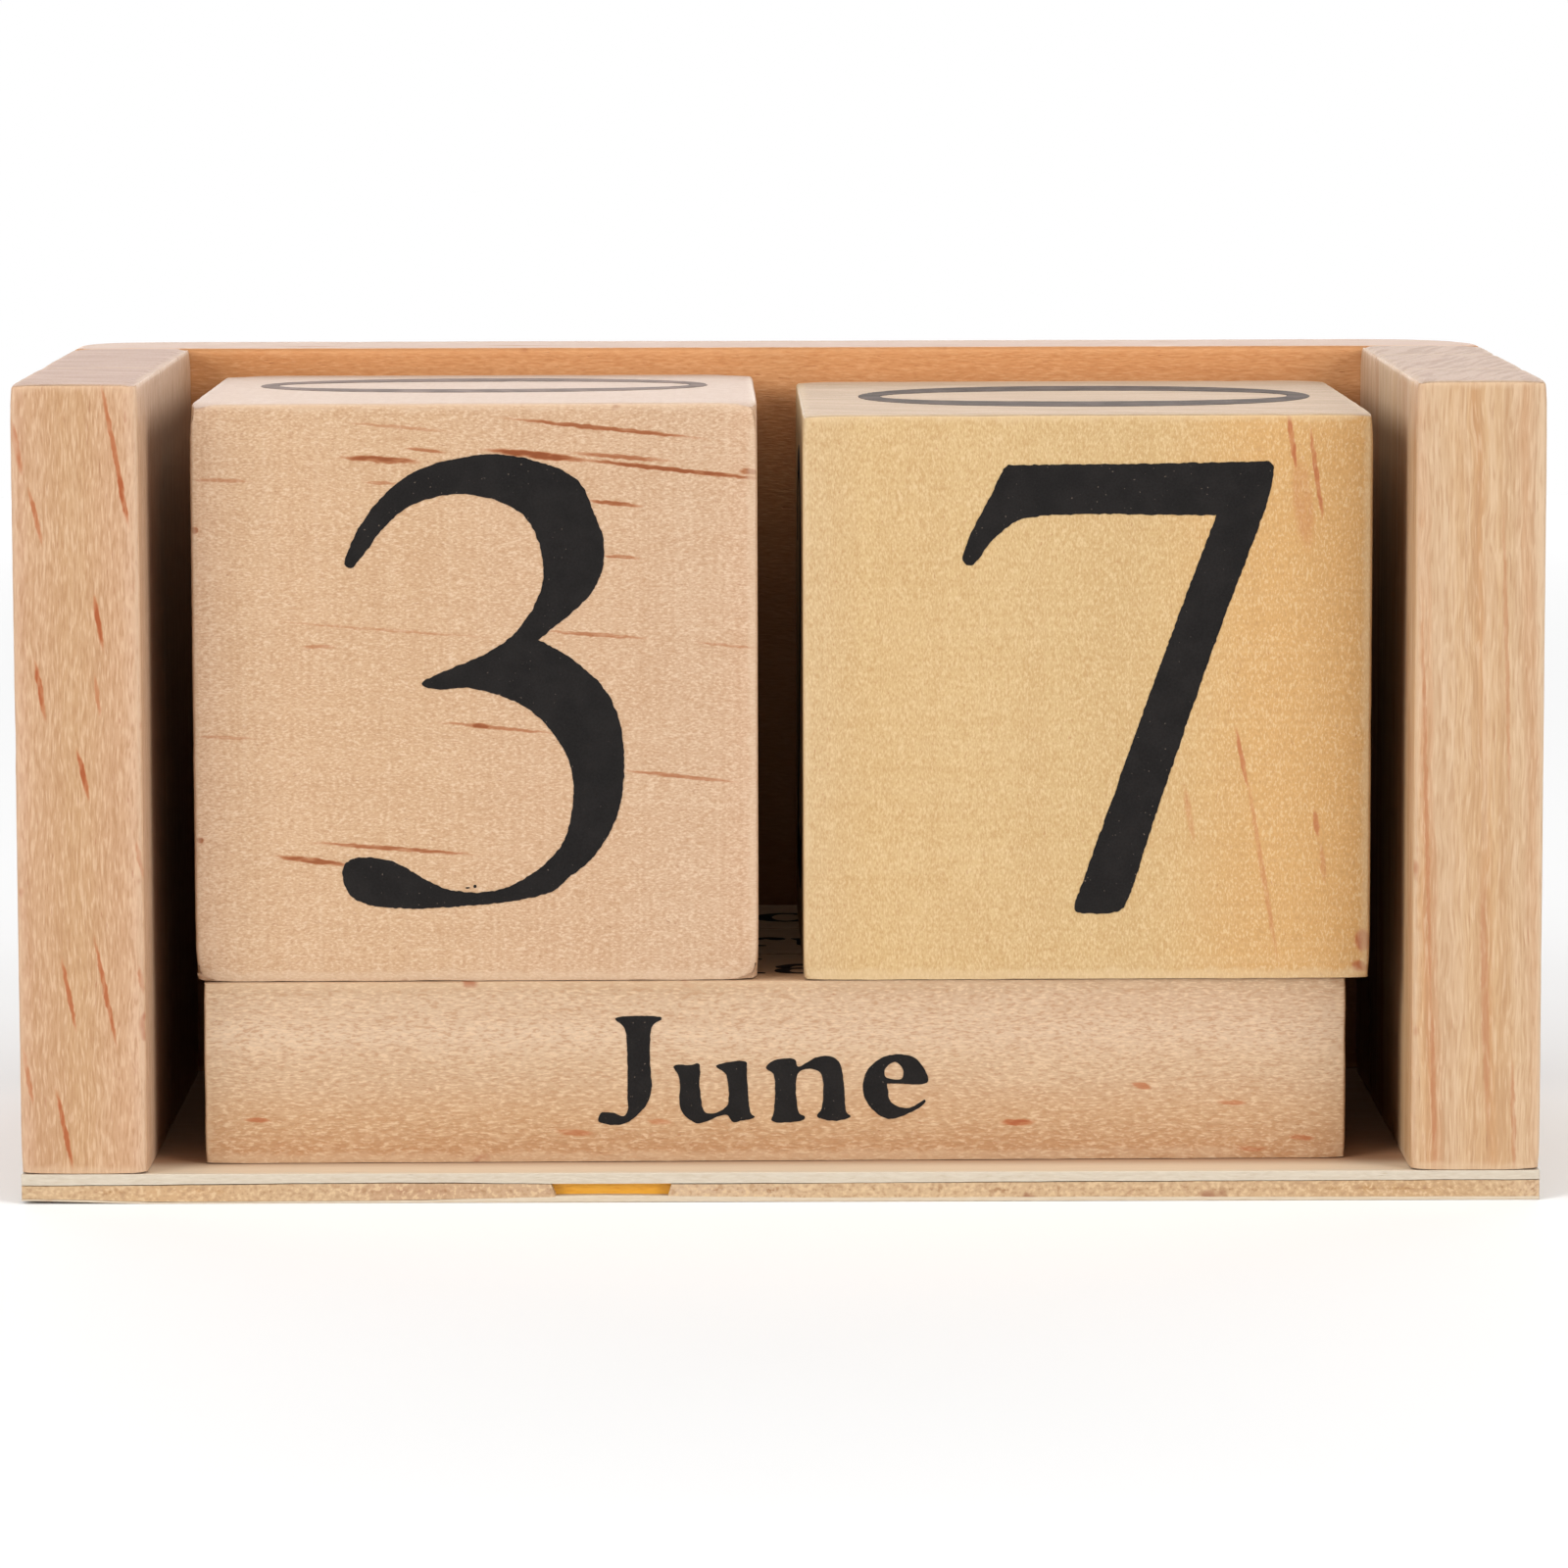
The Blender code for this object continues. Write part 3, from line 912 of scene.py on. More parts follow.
# Each letter's advance, its strokes and its rings.
STROKED_LETTERS = {
    "A": (12, (
        ((5.3, 10, 1), (3.2, 4.9, 1), (1.2, 0.5, 0.9)),
        ((5.6, 9.6, 2.2), (7.4, 4.9, 2.4), (9.4, 0.6, 2.4)),
        ((3, 3.4, 0.8), (5, 3.4, 0.8), (7.8, 3.4, 0.8)), ((0, 0.3, 0.6), (1.2, 0.3, 0.7), (2.8, 0.3, 0.6)),
        ((7.4, 0.3, 0.6), (9.4, 0.4, 0.9), (11.4, 0.3, 0.6)),
    ), ()),
    "D": (12.2, CAPITAL_STEM + (
        ((2.2, 9.9, 0.8), (6, 9.7, 1.2), (9.3, 7.6, 2.2), (10, 5.1, 2.6), (9.3, 2.6, 2.2), (6, 0.6, 1.2),
         (2.2, 0.4, 0.8)),
    ), ()),
    "F": (9.6, CAPITAL_STEM + (
        ((2.2, 9.9, 0.8), (5, 9.9, 0.8), (8.3, 9.8, 0.9), (8.7, 8, 0.6)),
        ((2.2, 5.4, 0.8), (4.4, 5.4, 0.8), (6.4, 5.4, 0.8)),
        ((6.5, 6.8, 0.6), (6.5, 5.4, 0.7), (6.5, 4, 0.6)),
    ), ()),
    "M": (14.6, (
        ((2, 0.6, 0.9), (2.1, 5, 0.9), (2.3, 9.6, 1)), ((2.4, 9.6, 2.3), (4.4, 5, 2.3), (6.3, 0.9, 1.6)),
        ((6.4, 0.8, 0.8), (8.4, 5, 0.8), (10.4, 9.6, 0.9)),
        ((11.2, 9.6, 2.5), (11.3, 5, 2.5), (11.3, 0.7, 2.5)),
        THIN_FOOT, ((9.4, 0.3, 0.6), (11.3, 0.45, 0.9), (13.4, 0.3, 0.6)),
        ((0.4, 9.95, 0.6), (1.6, 9.95, 0.7), (2.8, 9.8, 0.8)),
        ((10.6, 9.9, 0.8), (12, 9.95, 0.7), (13.2, 9.95, 0.6)),
    ), ()),
    "N": (12.8, (
        ((2, 0.6, 0.9), (2.1, 5, 0.9), (2.1, 9.6, 0.9)), ((2.3, 9.5, 2.3), (6, 5, 2.4), (9.6, 0.8, 1.8)),
        ((10, 0.8, 0.9), (10, 5, 0.9), (10, 9.8, 0.9)), THIN_FOOT,
        ((0.3, 9.95, 0.6), (1.4, 9.95, 0.7), (2.6, 9.8, 0.8)),
        ((8.4, 9.95, 0.6), (10, 9.9, 0.7), (11.6, 9.95, 0.6)),
    ), ()),
    "O": (12.2, (), ((5.4, 5.1, 5.4, 5.4, 2.5, 0.8),)),
    "S": (8.6, (
        ((6.8, 7.6, 0.7), (5.6, 9.6, 1), (3.4, 9.8, 1.2), (1.7, 8.2, 2.1), (2.6, 6.3, 2.4),
         (5.2, 4.7, 2.5), (6.1, 2.6, 2.2), (4.6, 0.6, 1.2), (2.2, 0.5, 1), (0.7, 2.8, 0.7)),
    ), ()),
    "a": (7.6, (
        ((0.9, 4.4, 1.6), (1.9, 5.7, 1.1), (3.6, 5.6, 1.3), (4.6, 4.2, 2.2), (4.7, 2, 2.3),
         (5.2, 0.7, 1.2), (6.7, 0.6, 0.6)),
    ), ((2.5, 1.75, 2.5, 1.95, 1.5, 0.6),)),
    "b": (8.2, stem(1.9, 0.2, 10.5, slab=1.5), BOWL),
    "c": (6.6, (
        ((5.2, 4.7, 1.5), (4.3, 5.8, 0.9), (2.6, 5.5, 1.4), (1.3, 3.2, 2.4), (2.2, 0.9, 1.6),
         (3.8, 0.5, 0.9), (5.6, 1.5, 0.6)),
    ), ()),
    "g": (7.8, (
        ((5.2, 5.6, 0.7), (6.2, 6, 0.9), (6.9, 5.8, 0.8)),
        ((1.6, 2.2, 0.8), (1.2, 1.1, 1.2), (3, 0.4, 1.7), (5.2, 0, 1.7), (6.1, -1.2, 1.6),
         (4.6, -2.9, 0.9), (2, -2.9, 0.9), (0.9, -1.6, 1), (2.2, -0.2, 0.7)),
    ), ((3.1, 4.1, 2.8, 2.2, 1.5, 0.5),)),
    "h": (9.4, stem(1.9, 0, 10.5) + arch(1.9, 6.7), ()),
    "i": (4.8, stem(1.9, 0, X_HEIGHT), ((2, 8.9, 1.4, 1.4, 1.39, 1.39),)),
    "l": (4.8, stem(1.9, 0, 10.5), ()),
    "m": (14.2, stem(1.9, 0, X_HEIGHT) + arch(1.9, 6.7) + arch(6.7, 11.5), ()),
    "o": (7.6, (), ((3.3, 3.1, 3.3, 3.3, 1.8, 0.6),)),
    "p": (8.2, stem(1.9, -3.2, X_HEIGHT), BOWL),
    "r": (6.8, stem(1.9, 0, X_HEIGHT) + (
        ((2.6, 4.6, 0.8), (4, 5.8, 1.1), (5.2, 5.3, 1.7)),
    ), ()),
    "s": (6, (
        ((4.7, 4.7, 0.6), (3.8, 5.9, 0.8), (2, 5.8, 1), (1.3, 4.7, 1.7), (2.6, 3.3, 1.9),
         (4.2, 2, 1.8), (3.3, 0.5, 1), (1.6, 0.5, 0.8), (0.5, 2, 0.6)),
    ), ()),
    "t": (5.6, (
        ((1.9, 7.9, 0.8), (2, 6, 2.1), (2, 2.4, 2.2), (2.8, 0.7, 1.4), (4.6, 0.9, 0.6)),
        ((0.2, 5.7, 0.7), (2, 5.8, 0.8), (4.4, 5.8, 0.7)),
    ), ()),
    "v": (8.2, (
        ((1.4, 5.7, 2.2), (2.6, 3, 2.2), (3.9, 0.5, 1.5)), ((4, 0.5, 0.8), (5.2, 3, 0.8), (6.3, 5.7, 0.8)),
        *FORK_TOPS,
    ), ()),
    "y": (8.2, (
        ((1.4, 5.7, 2.2), (2.8, 2.8, 2.2), (4.1, 0.3, 1.6)),
        ((6.3, 5.7, 0.8), (5.2, 2.8, 0.9), (3.7, -0.8, 1), (2.5, -2.6, 1.2), (1.1, -2.6, 1.5)),
        *FORK_TOPS,
    ), ()),
}


def digit_parts(digit, step):
    if digit == "3":
        return outlined(THREE, None, step) + [(oval(*drop, 0.15), None) for drop in THREE_DROPS]
    if digit == "7":
        return outlined(SEVEN, None, step)
    strokes, rings = STROKED_DIGITS[digit]
    return drawn(strokes, rings, step)


def letter_parts(letter, step):
    if letter in TRACED_LETTERS:
        advance, points, hole = TRACED_LETTERS[letter]
        return advance, outlined(points, hole, step)
    advance, strokes, rings = STROKED_LETTERS[letter]
    return advance, drawn(strokes, rings, step)


def shifted(parts, across):
    offset = Vector((across, 0))
    return [[[place + offset for place in loop] if loop else None for loop in part] for part in parts]


def word_parts(word, step):
    """The word's letters, and its width."""
    parts = []
    across = 0.0
    for letter in word:
        advance, shape = letter_parts(letter, step)
        parts += shifted(shape, across)
        across += advance
    return parts, across - LETTER_GAP


FACES = {
    "front": ((1, 0, 0), (0, 0, 1)), "rear": ((-1, 0, 0), (0, 0, 1)),
    "right": ((0, 1, 0), (0, 0, 1)), "left": ((0, -1, 0), (0, 0, 1)),
    "top": ((1, 0, 0), (0, 1, 0)), "bottom": ((1, 0, 0), (0, -1, 0)),
}


def face_map(low, high, turn, side, across=0.0, up=0.0, quarter=0, fall=0.0):
    """Map from a figure's own (x, y, height) to metres on one side of a turned block.

    across and up move the figure from the middle of the side, and quarter turns it. fall is how
    much the top drops towards the rear for each millimetre.
    """
    right, above = (Vector(direction) for direction in FACES[side])
    out = right.cross(above)
    for _ in range(quarter):
        right, above = above, -right
    middle = (low + high) / 2
    half = (high - low) / 2
    origin = Vector([out[axis] * half[axis] for axis in range(3)])
    origin += Vector(FACES[side][0]) * across + Vector(FACES[side][1]) * up
    spin = Matrix.Rotation(turn, 3, "Z")

    def place(x, y, height):
        spot = origin + right * x + above * y + out * height
        if side == "top":
            spot.z -= fall * (spot.y + half.y)
        return (middle + spin @ spot) * MM
    return place


def finish_ink(name, shape, body, material):
    mesh = bpy.data.meshes.new(name)
    shape.to_mesh(mesh)
    shape.free()
    add_piece(name, mesh, material, body)


# ---------------------------------------------------------------- assembly

bpy.context.scene.view_settings.view_transform = "Standard"
add_camera()
add_lights()
add_world()
add_floor()

INK = ink("stamping ink", (0.0105, 0.0088, 0.0082), 0.16)
RED_BROWN = (150, 74, 20)

LEFT_CUBE_STREAKS = (
    (-23.8, 73.5, 10, 0.55, 6.2, 1), (-10.1, 72, 18.6, 0.36, 6.4, 0.95),
    (-17.1, 76.1, 18.5, 0.34, 6, 0.85), (-15.6, 73.3, 9.5, 0.36, 5.1, 0.75),
    (-2.9, 71.8, 2, 0.45, 4, 0.95), (-39.2, 73.1, 7.4, 0.5, 3.8, 0.95),
    (-37.4, 76.3, 9.3, 0.25, 4.8, 0.35), (-34.8, 74, 3.9, 0.28, 5.7, 0.7),
    (-39.3, 70.8, 3.1, 0.3, 3.6, 0.5), (-16.2, 68.7, 5.1, 0.34, 6.6, 0.85),
    (-15.5, 63.4, 3.6, 0.28, 4.6, 0.65), (-55, 71.1, 5.7, 0.3, 2, 0.4),
    (-57.6, 66.2, 0.9, 0.5, 0, 0.8), (-57.4, 35.4, 0.9, 0.5, 0, 0.8),
    (-39.4, 56.3, 19.6, 0.22, 4.5, 0.32), (-45.5, 54.6, 3.3, 0.28, 1.7, 0.45),
    (-18, 55.7, 9.3, 0.3, 4.2, 0.6), (-5.1, 54.6, 6.2, 0.22, 5.4, 0.35),
    (-54.8, 45.6, 5.8, 0.25, 2, 0.35), (-28, 46.5, 10.8, 0.3, 5.6, 0.6),
    (-29.6, 46.7, 2, 0.45, 5.6, 0.95), (-38.3, 34.5, 14.9, 0.34, 4.5, 0.8),
    (-46.3, 33.3, 7.1, 0.42, 7.2, 0.9), (-9.8, 41.6, 10.5, 0.3, 6.3, 0.65),
)
RIGHT_CUBE_STREAKS = (
    (50.6, 74.7, 5.6, 0.42, 82, 0.75), (53, 71.5, 8.8, 0.36, 82, 0.7),
    (51.7, 68.6, 9, 1.5, 84, 0.25), (45.8, 43.2, 6.2, 0.36, 78, 0.6),
    (47.9, 32.1, 18, 0.4, 80.5, 0.32), (53.2, 36.7, 2.7, 0.45, 82, 0.55),
    (53.9, 32.7, 4, 0.4, 84, 0.3), (40.6, 37.7, 5.4, 0.5, 80, 0.25),
    (57.9, 25, 2.2, 1.2, 84, 0.9), (57.6, 22.4, 1.8, 0.8, 20, 0.8),
)
LEFT_POST_STREAKS = (
    (-64.8, 74.3, 13.7, 0.36, 80.1, 0.7), (-64.1, 70.2, 5.5, 0.4, 80.1, 0.95),
    (-74.4, 75, 5.2, 0.5, 80, 0.7), (-72.6, 68.1, 5.4, 0.34, 77, 0.7),
    (-66.6, 57.7, 5, 0.42, 82, 0.95), (-72.4, 51, 5.5, 0.4, 82, 0.9),
    (-66.8, 50.5, 4, 0.3, 83, 0.45), (-68.3, 42.7, 4.8, 0.42, 78, 0.95),
    (-62.9, 34.2, 3.7, 0.34, 80, 0.6), (-66.4, 21.2, 10.3, 0.36, 79.2, 0.8),
    (-70, 20.9, 7, 0.34, 80, 0.75), (-62.9, 22.3, 2.7, 0.36, 80, 0.65),
    (-74.2, 13, 5.7, 0.34, 81, 0.6), (-70.6, 7.4, 7.6, 0.36, 79, 0.85),
)
RIGHT_POST_STREAKS = (
    (63.5, 38, 40, 0.3, 88.3, 0.55), (63.2, 50, 8, 0.3, 88.3, 0.5),
    (64.4, 11, 17, 0.4, 88.3, 0.6), (71.2, 54, 30, 0.3, 88.3, 0.4),
    (69.4, 20, 26, 0.6, 88.3, 0.5), (72.3, 8, 12, 0.35, 88.3, 0.5),
)
RIGHT_POST_BANDS = (
    (62, (228, 190, 156)), (63.2, (228, 188, 150)), (63.6, (208, 152, 108)), (64, (228, 198, 160)),
    (65.7, (224, 192, 150)), (66.4, (220, 178, 128)), (68.2, (216, 172, 120)), (68.8, (208, 154, 104)),
    (69.3, (224, 184, 140)), (70.2, (224, 176, 126)), (70.5, (210, 150, 100)), (71.4, (216, 168, 126)),
    (71.9, (224, 188, 149)), (75.8, (220, 178, 131)), (76.6, (212, 160, 108)), (77.4, (221, 179, 131)),
    (80, (220, 183, 142)), (81.2, (214, 168, 126)), (82.6, (230, 199, 164)), (86, (222, 186, 148)),
)
BAR_STREAKS = (
    (-52, 7.4, 2.6, 0.4, 3, 0.7), (-20.5, 6, 3.6, 0.5, 4, 0.55),
    (-12, 7, 2.4, 0.4, 3, 0.4), (23.6, 6.8, 3.4, 0.5, 0, 0.9),
    (36, 10.4, 2, 0.5, 8, 0.6), (45, 8.7, 3, 0.4, 3, 0.6),
    (52, 5.1, 2.6, 0.45, 4, 0.7), (47, 4, 3, 0.4, 0, 0.5),
)


def curly(recipe):
    """Curl across the lower part of a bar, and its darker, redder upper face, which is painted shade of
    the gaps under and between the cubes.
    """
    bent = recipe.warped(0.9, (0.35, 0.3, 0.5), 4)
    curl = recipe.noise((1.1, 0.7, 2.5), 12, 1.5, source=bent)
    strength = recipe.fade(recipe.split(recipe.place)[2], 12.0, 5.0, 0.05, 0.42)
    recipe.tint(recipe.times(recipe.fade(curl, 0.53, 0.64), strength), (232, 192, 150))
    recipe.tint(recipe.times(recipe.fade(curl, 0.48, 0.38), strength), (196, 142, 94))
    recipe.lift(recipe.times(curl, strength), 3.0)
    # Painted shade on the bar's top face.
    painted_top_light_and_shade((196, 152, 116), 0.65)(recipe)


def tray_floor_painted_shade(recipe):
    """The veneer's upper face is tan, and browner towards the inside of the tray as painted shade under
    and between the bars and cubes.
    """
    upward = recipe.fade(recipe.split(recipe.normal)[2], 0.5, 0.9)
    # Painted shade: browner from y -36 mm to -31 mm and beyond.
    inner = recipe.fade(recipe.split(recipe.place)[1], -36.0, -31.0)
    tone = recipe.blend(inner, paint(240, 214, 182), paint(172, 120, 80))
    recipe.colour = recipe.blend(recipe.times(upward, 0.9), recipe.colour, tone)


def painted_top_light_and_shade(tone, share):
    """Extra that tints the upward faces as painted light: a pale tone is painted sheen on the tops, a dark
    one painted shade.
    """
    def extra(recipe):
        upward = recipe.fade(recipe.split(recipe.normal)[2], 0.4, 0.9)
        recipe.tint(recipe.times(upward, share), tone)
    return extra


def back_panel_painted_light(recipe):
    """Painted light on the panel: its inner face is browner low down as painted shade behind the cubes,
    and its outer faces are paler, so the inner face's deeper orange is partly painted bounce light. Its
    tops get painted sheen.
    """
    facing = recipe.split(recipe.normal)[1]
    inner = recipe.fade(facing, -0.4, -0.9)
    low = recipe.fade(recipe.split(recipe.place)[2], 68.0, 50.0, 0.0, 0.6)
    # Painted shade low on the inner face.
    recipe.tint(recipe.times(inner, low), (176, 108, 62))
    # Outer faces paler than the inner face's orange, which is partly painted bounce light.
    recipe.tint(recipe.fade(facing, -0.6, -0.1, 0.0, 0.55), (220, 178, 140))
    painted_top_light_and_shade((226, 202, 190), 0.6)(recipe)


LEFT_CUBE = Timber(
    pale=(236, 204, 172), body=(222, 184, 147), deep=(200, 154, 112), streak=RED_BROWN, grain="X",
    seed=1, rings=(0.05, 0.55, 0.9), ring_gap=5.5, ring_depth=0.12, streaks=LEFT_CUBE_STREAKS,
    saw=0.16, fleck=(0.6, 0.65), fibre=(2.6, 6),
    # The paler stop at the left edge is painted light against the shade that the left post throws there.
    bands=(
        (-59, (232, 190, 154)), (-52, (224, 184, 143)), (-38, (222, 182, 140)), (-22, (222, 182, 144)),
        (-8, (222, 185, 150)), (-2, (225, 184, 149)),
    ),
)
RIGHT_CUBE = Timber(
    pale=(238, 206, 160), body=(225, 186, 134), deep=(202, 156, 98), streak=(180, 88, 40), grain="Z",
    seed=2, rings=(0.25, 1, 0.05), ring_gap=6, ring_depth=0.12, streaks=RIGHT_CUBE_STREAKS,
    saw=0.1, fleck=(0.5, 0.5), end=(220, 191, 163), fibre=(2.6, 5.6),
    bands=(
        (2, (224, 190, 140)), (10, (228, 192, 134)), (34, (223, 188, 130)), (50, (227, 174, 103)),
        (58, (226, 168, 92)),
    ),
)
LEFT_POST = Timber(
    pale=(232, 194, 158), body=(218, 173, 133), deep=(192, 142, 98), streak=(176, 84, 30), grain="Z",
    seed=3, rings=(0.12, 1, 0), ring_gap=3.4, ring_depth=0.2, streaks=LEFT_POST_STREAKS,
    fleck=(0.5, 0.6), end=(208, 176, 162), fibre=(0.6, 5), stripe=0.15,
    # The paler stops at the inner edge are painted highlight on its rounding.
    bands=(
        (-75, (216, 168, 136)), (-73, (214, 169, 128)), (-69, (211, 166, 119)), (-64.5, (217, 171, 131)),
        (-63, (230, 189, 156)), (-60, (226, 180, 144)),
    ),
)
RIGHT_POST = Timber(
    pale=(232, 198, 162), body=(219, 179, 137), deep=(196, 148, 104), streak=(186, 112, 66), grain="Z",
    seed=4, rings=(1, -0.3, 0.03), ring_gap=2.6, ring_depth=0.2, streaks=RIGHT_POST_STREAKS,
    fleck=(0.4, 0.5), end=(204, 176, 160), fibre=(0.3, 4.6), stripe=0.5, bands=RIGHT_POST_BANDS,
    lean=(1, -0.16, 0.029), halo=(212, 156, 110),
)
BAR = Timber(
    pale=(234, 198, 160), body=(220, 180, 141), deep=(198, 150, 108), streak=(176, 90, 44), grain="X",
    seed=5, rings=(0, 0.4, 1), ring_gap=7, ring_depth=0.12, streaks=BAR_STREAKS,
    fleck=(0.65, 0.65), fibre=(1.4, 5), lean=(0, 0, 1),
    # The darker stop at the top is painted shadow under the cubes' overhang.
    bands=(
        (3, (199, 140, 88)), (7, (212, 168, 122)), (12, (220, 186, 149)), (16, (229, 199, 168)),
        (19, (221, 189, 156)), (21.5, (200, 166, 128)),
    ),
)
# Its deep orange is partly the wood's own tone and partly painted warm bounce light between the blocks.
BACK = Timber(
    pale=(240, 178, 122), body=(230, 158, 96), deep=(210, 136, 76), streak=(180, 96, 44), grain="X",
    seed=6, rings=(0, 1, 0.2), ring_gap=4.5, ring_depth=0.2, fleck=(0.4, 0.45), rough=0.6,
    end=(202, 158, 122),
)
VENEER = Timber(
    pale=(228, 216, 196), body=(218, 202, 180), deep=(198, 176, 148), streak=(190, 156, 128), grain="X",
    seed=7, rings=(0, 0.3, 1), ring_gap=3, ring_depth=0.1, fleck=(0.5, 0.45), rough=0.62, stray=0.2,
)
CORE = Timber(
    pale=(226, 192, 150), body=(200, 158, 110), deep=(160, 108, 64), streak=(150, 84, 50), grain="X",
    seed=8, rings=(0, 1, 0), ring_gap=4, ring_depth=0.1, fleck=(0.9, 0.9), rough=0.72, stray=0.3,
    fibre=(2, 2.4), end=(196, 150, 98),
    bands=(
        (-75, (207, 172, 130)), (-60, (206, 158, 104)), (-45, (204, 170, 132)), (-38, (180, 128, 98)),
        (-24, (192, 152, 122)), (-9, (216, 186, 158)), (8, (210, 178, 138)), (38, (206, 171, 130)),
        (64, (190, 142, 82)), (70, (202, 166, 120)), (75, (220, 188, 156)),
    ),
)
SKIN = Timber(
    pale=(230, 213, 188), body=(220, 198, 170), deep=(200, 168, 128), streak=(190, 142, 100), grain="X",
    seed=9, rings=(0, 0.3, 1), ring_gap=3, ring_depth=0.1, fleck=(0.4, 0.4), rough=0.66, stray=0.2,
)
# The amber is painted warm bounce light inside the hollow of the core ply, brighter than the wood against
# the recess's shade.
AMBER = Timber(
    pale=(286, 214, 76), body=(278, 194, 46), deep=(248, 148, 20), streak=(200, 100, 16), grain="X",
    seed=10, rings=(0, 0.2, 1), ring_gap=0.9, ring_depth=0.2, fleck=(0.3, 0.3), rough=0.5, stray=0,
)


def centred_box(node, turn):
    """Corners of a turned block before its turn, from the turned block's own box."""
    low, high = node_box(node)
    width = high.x - low.x
    depth = high.y - low.y
    cosine = math.cos(abs(turn))
    sine = math.sin(abs(turn))
    spread = cosine * cosine - sine * sine
    true_width = (width * cosine - depth * sine) / spread
    true_depth = (depth * cosine - width * sine) / spread
    middle = (low + high) / 2
    half = Vector((true_width / 2, true_depth / 2, (high.z - low.z) / 2))
    return middle - half, middle + half


CUBE_DEPTH = 56


def falling(place, low, fall):
    """Relief of a cube whose top drops towards the rear."""
    lowered = place.copy()
    lowered.z -= fall * (place.y - low.y) * (place.z - low.z) / CUBE_DEPTH
    return lowered


def add_block(name, node, body, material, block):
    add_piece(name, block.mesh(name), material, body, (node,))


CUBE_TURNS = {"left": math.radians(0.5), "right": math.radians(0.45)}
BAR_TURN = math.radians(0.8)
GLUE_GAP = 0.28
REAR_CORNERS = {"rear_left": 8.0, "rear_right": 12.0}

# The loose blocks reach down to what they rest on. The prints on their undersides go down with
# that face, but for the height of the ink.
SETTLED = Vector((0, 0, -0.29))
UNDERSIDE = Vector((0, 0, -0.26))

# How far the outlines in the photo reach past the CAD's, and how much the left cube's top drops.
LEFT_CUBE_WIDER = 0.15
LEFT_CUBE_TALLER = 0.25
RIGHT_CUBE_WIDER = 0.3
FRONT_BAR_LONGER = 0.35
LEFT_CUBE_FALL = 0.45 / CUBE_DEPTH

left_low, left_high = centred_box("left_number_cube", CUBE_TURNS["left"])
left_low.x -= LEFT_CUBE_WIDER
left_high.z += LEFT_CUBE_TALLER
low, high = left_low, left_high
# The left cube's paler, pinker top is painted sheen.
add_block(
    "left_cube_block", "left_number_cube", "left_cube",
    wood("left cube wood", LEFT_CUBE, low, high, painted_top_light_and_shade((244, 218, 206), 0.48)),
    Block(low + SETTLED, high, ease=0.45, eases={"bottom": 0.1}, turn=CUBE_TURNS["left"],
          corner_wear=1.3, relief=lambda place: falling(place, left_low, LEFT_CUBE_FALL)),
)
low, high = centred_box("right_number_cube", CUBE_TURNS["right"])
high.x += RIGHT_CUBE_WIDER
# The right cube's paler top is painted sheen.
add_block(
    "right_cube_block", "right_number_cube", "right_cube",
    wood("right cube wood", RIGHT_CUBE, low, high, painted_top_light_and_shade((238, 206, 186), 0.6)),
    Block(low + SETTLED, high, ease=0.4, eases={"bottom": 0.1}, turn=CUBE_TURNS["right"],
          corner_wear=0.35),
)
right_low, right_high = low, high

bar_boxes = {}
for label, turn in (("front", BAR_TURN), ("middle", 0.0), ("rear", 0.0)):
    low, high = centred_box(label + "_month_bar", turn)
    low.x -= FRONT_BAR_LONGER if label == "front" else 0
    timber = BAR if label == "front" else BAR.like(seed=BAR.seed + low.y * 0.01, streaks=())
    add_block(
        label + "_bar_block", label + "_month_bar", label + "_bar",
        wood(label + " bar wood", timber, low, high, curly),
        Block(low + SETTLED, high, ease=0.35, eases={"bottom": 0.15, "top": 0.12}, turn=turn,
              corner_wear=0.15),
    )
    bar_boxes[label] = (low, high, turn)

for node, glued in (
    ("left_front_stave", ("rear",)), ("left_rear_stave", ("front", "rear")),
    ("right_front_stave", ("rear",)), ("right_middle_stave", ("front", "rear")),
    ("right_rear_stave", ("front", "rear")),
):
    low, high = node_box(node)
    timber = LEFT_POST if low.x < 0 else RIGHT_POST
    if low.y > -38:
        timber = timber.like(seed=timber.seed + low.y * 0.03, streaks=())
    low.z -= GLUE_GAP
    low.y -= GLUE_GAP / 2 if "front" in glued else 0
    high.y += GLUE_GAP / 2
    add_block(
        node + "_block", node, "tray",
        wood(node + " wood", timber, low, high),
        Block(low, high, ease=0.5, glued=glued + ("bottom",), corner_wear=0.3,
              eases={"right": 1.2} if low.x < 0 else {"left": 0.9}),
    )

low, high = node_box("back_panel")
low.z -= GLUE_GAP
add_block(
    "back_panel_block", "back_panel", "tray",
    wood("back panel wood", BACK, low, high, back_panel_painted_light),
    Block(low, high, ease=0.55, glued=("bottom",), eases={"front": 0.25},
          corners={"front_left": 0, "front_right": 0, **REAR_CORNERS}),
)

# Plywood base. The glue lines between its plies wander a little along the front edge.
FOOT = ((-75, 0.3), (-62, 0.0))
SKIN_TOP = ((-75, 0.44), (-60, 0.14), (-40, 0.2), (-17, 0.58), (5, 0.4), (75, 0.3))
VENEER_FOOT = ((-75, 1.85), (-36, 2.05), (-20, 1.88), (5, 1.9), (30, 2.0), (75, 2.05))
VENEER_TOP = ((-75, 3.0), (75, 3.0))


def along(points, x):
    """Value at x, eased from each (x, value) point to the next."""
    for (start, low), (end, high) in zip(points, points[1:]):
        if x <= end:
            share = min(max((x - start) / (end - start), 0), 1)
            return low + (high - low) * share * share * (3 - 2 * share)
    return points[-1][1]


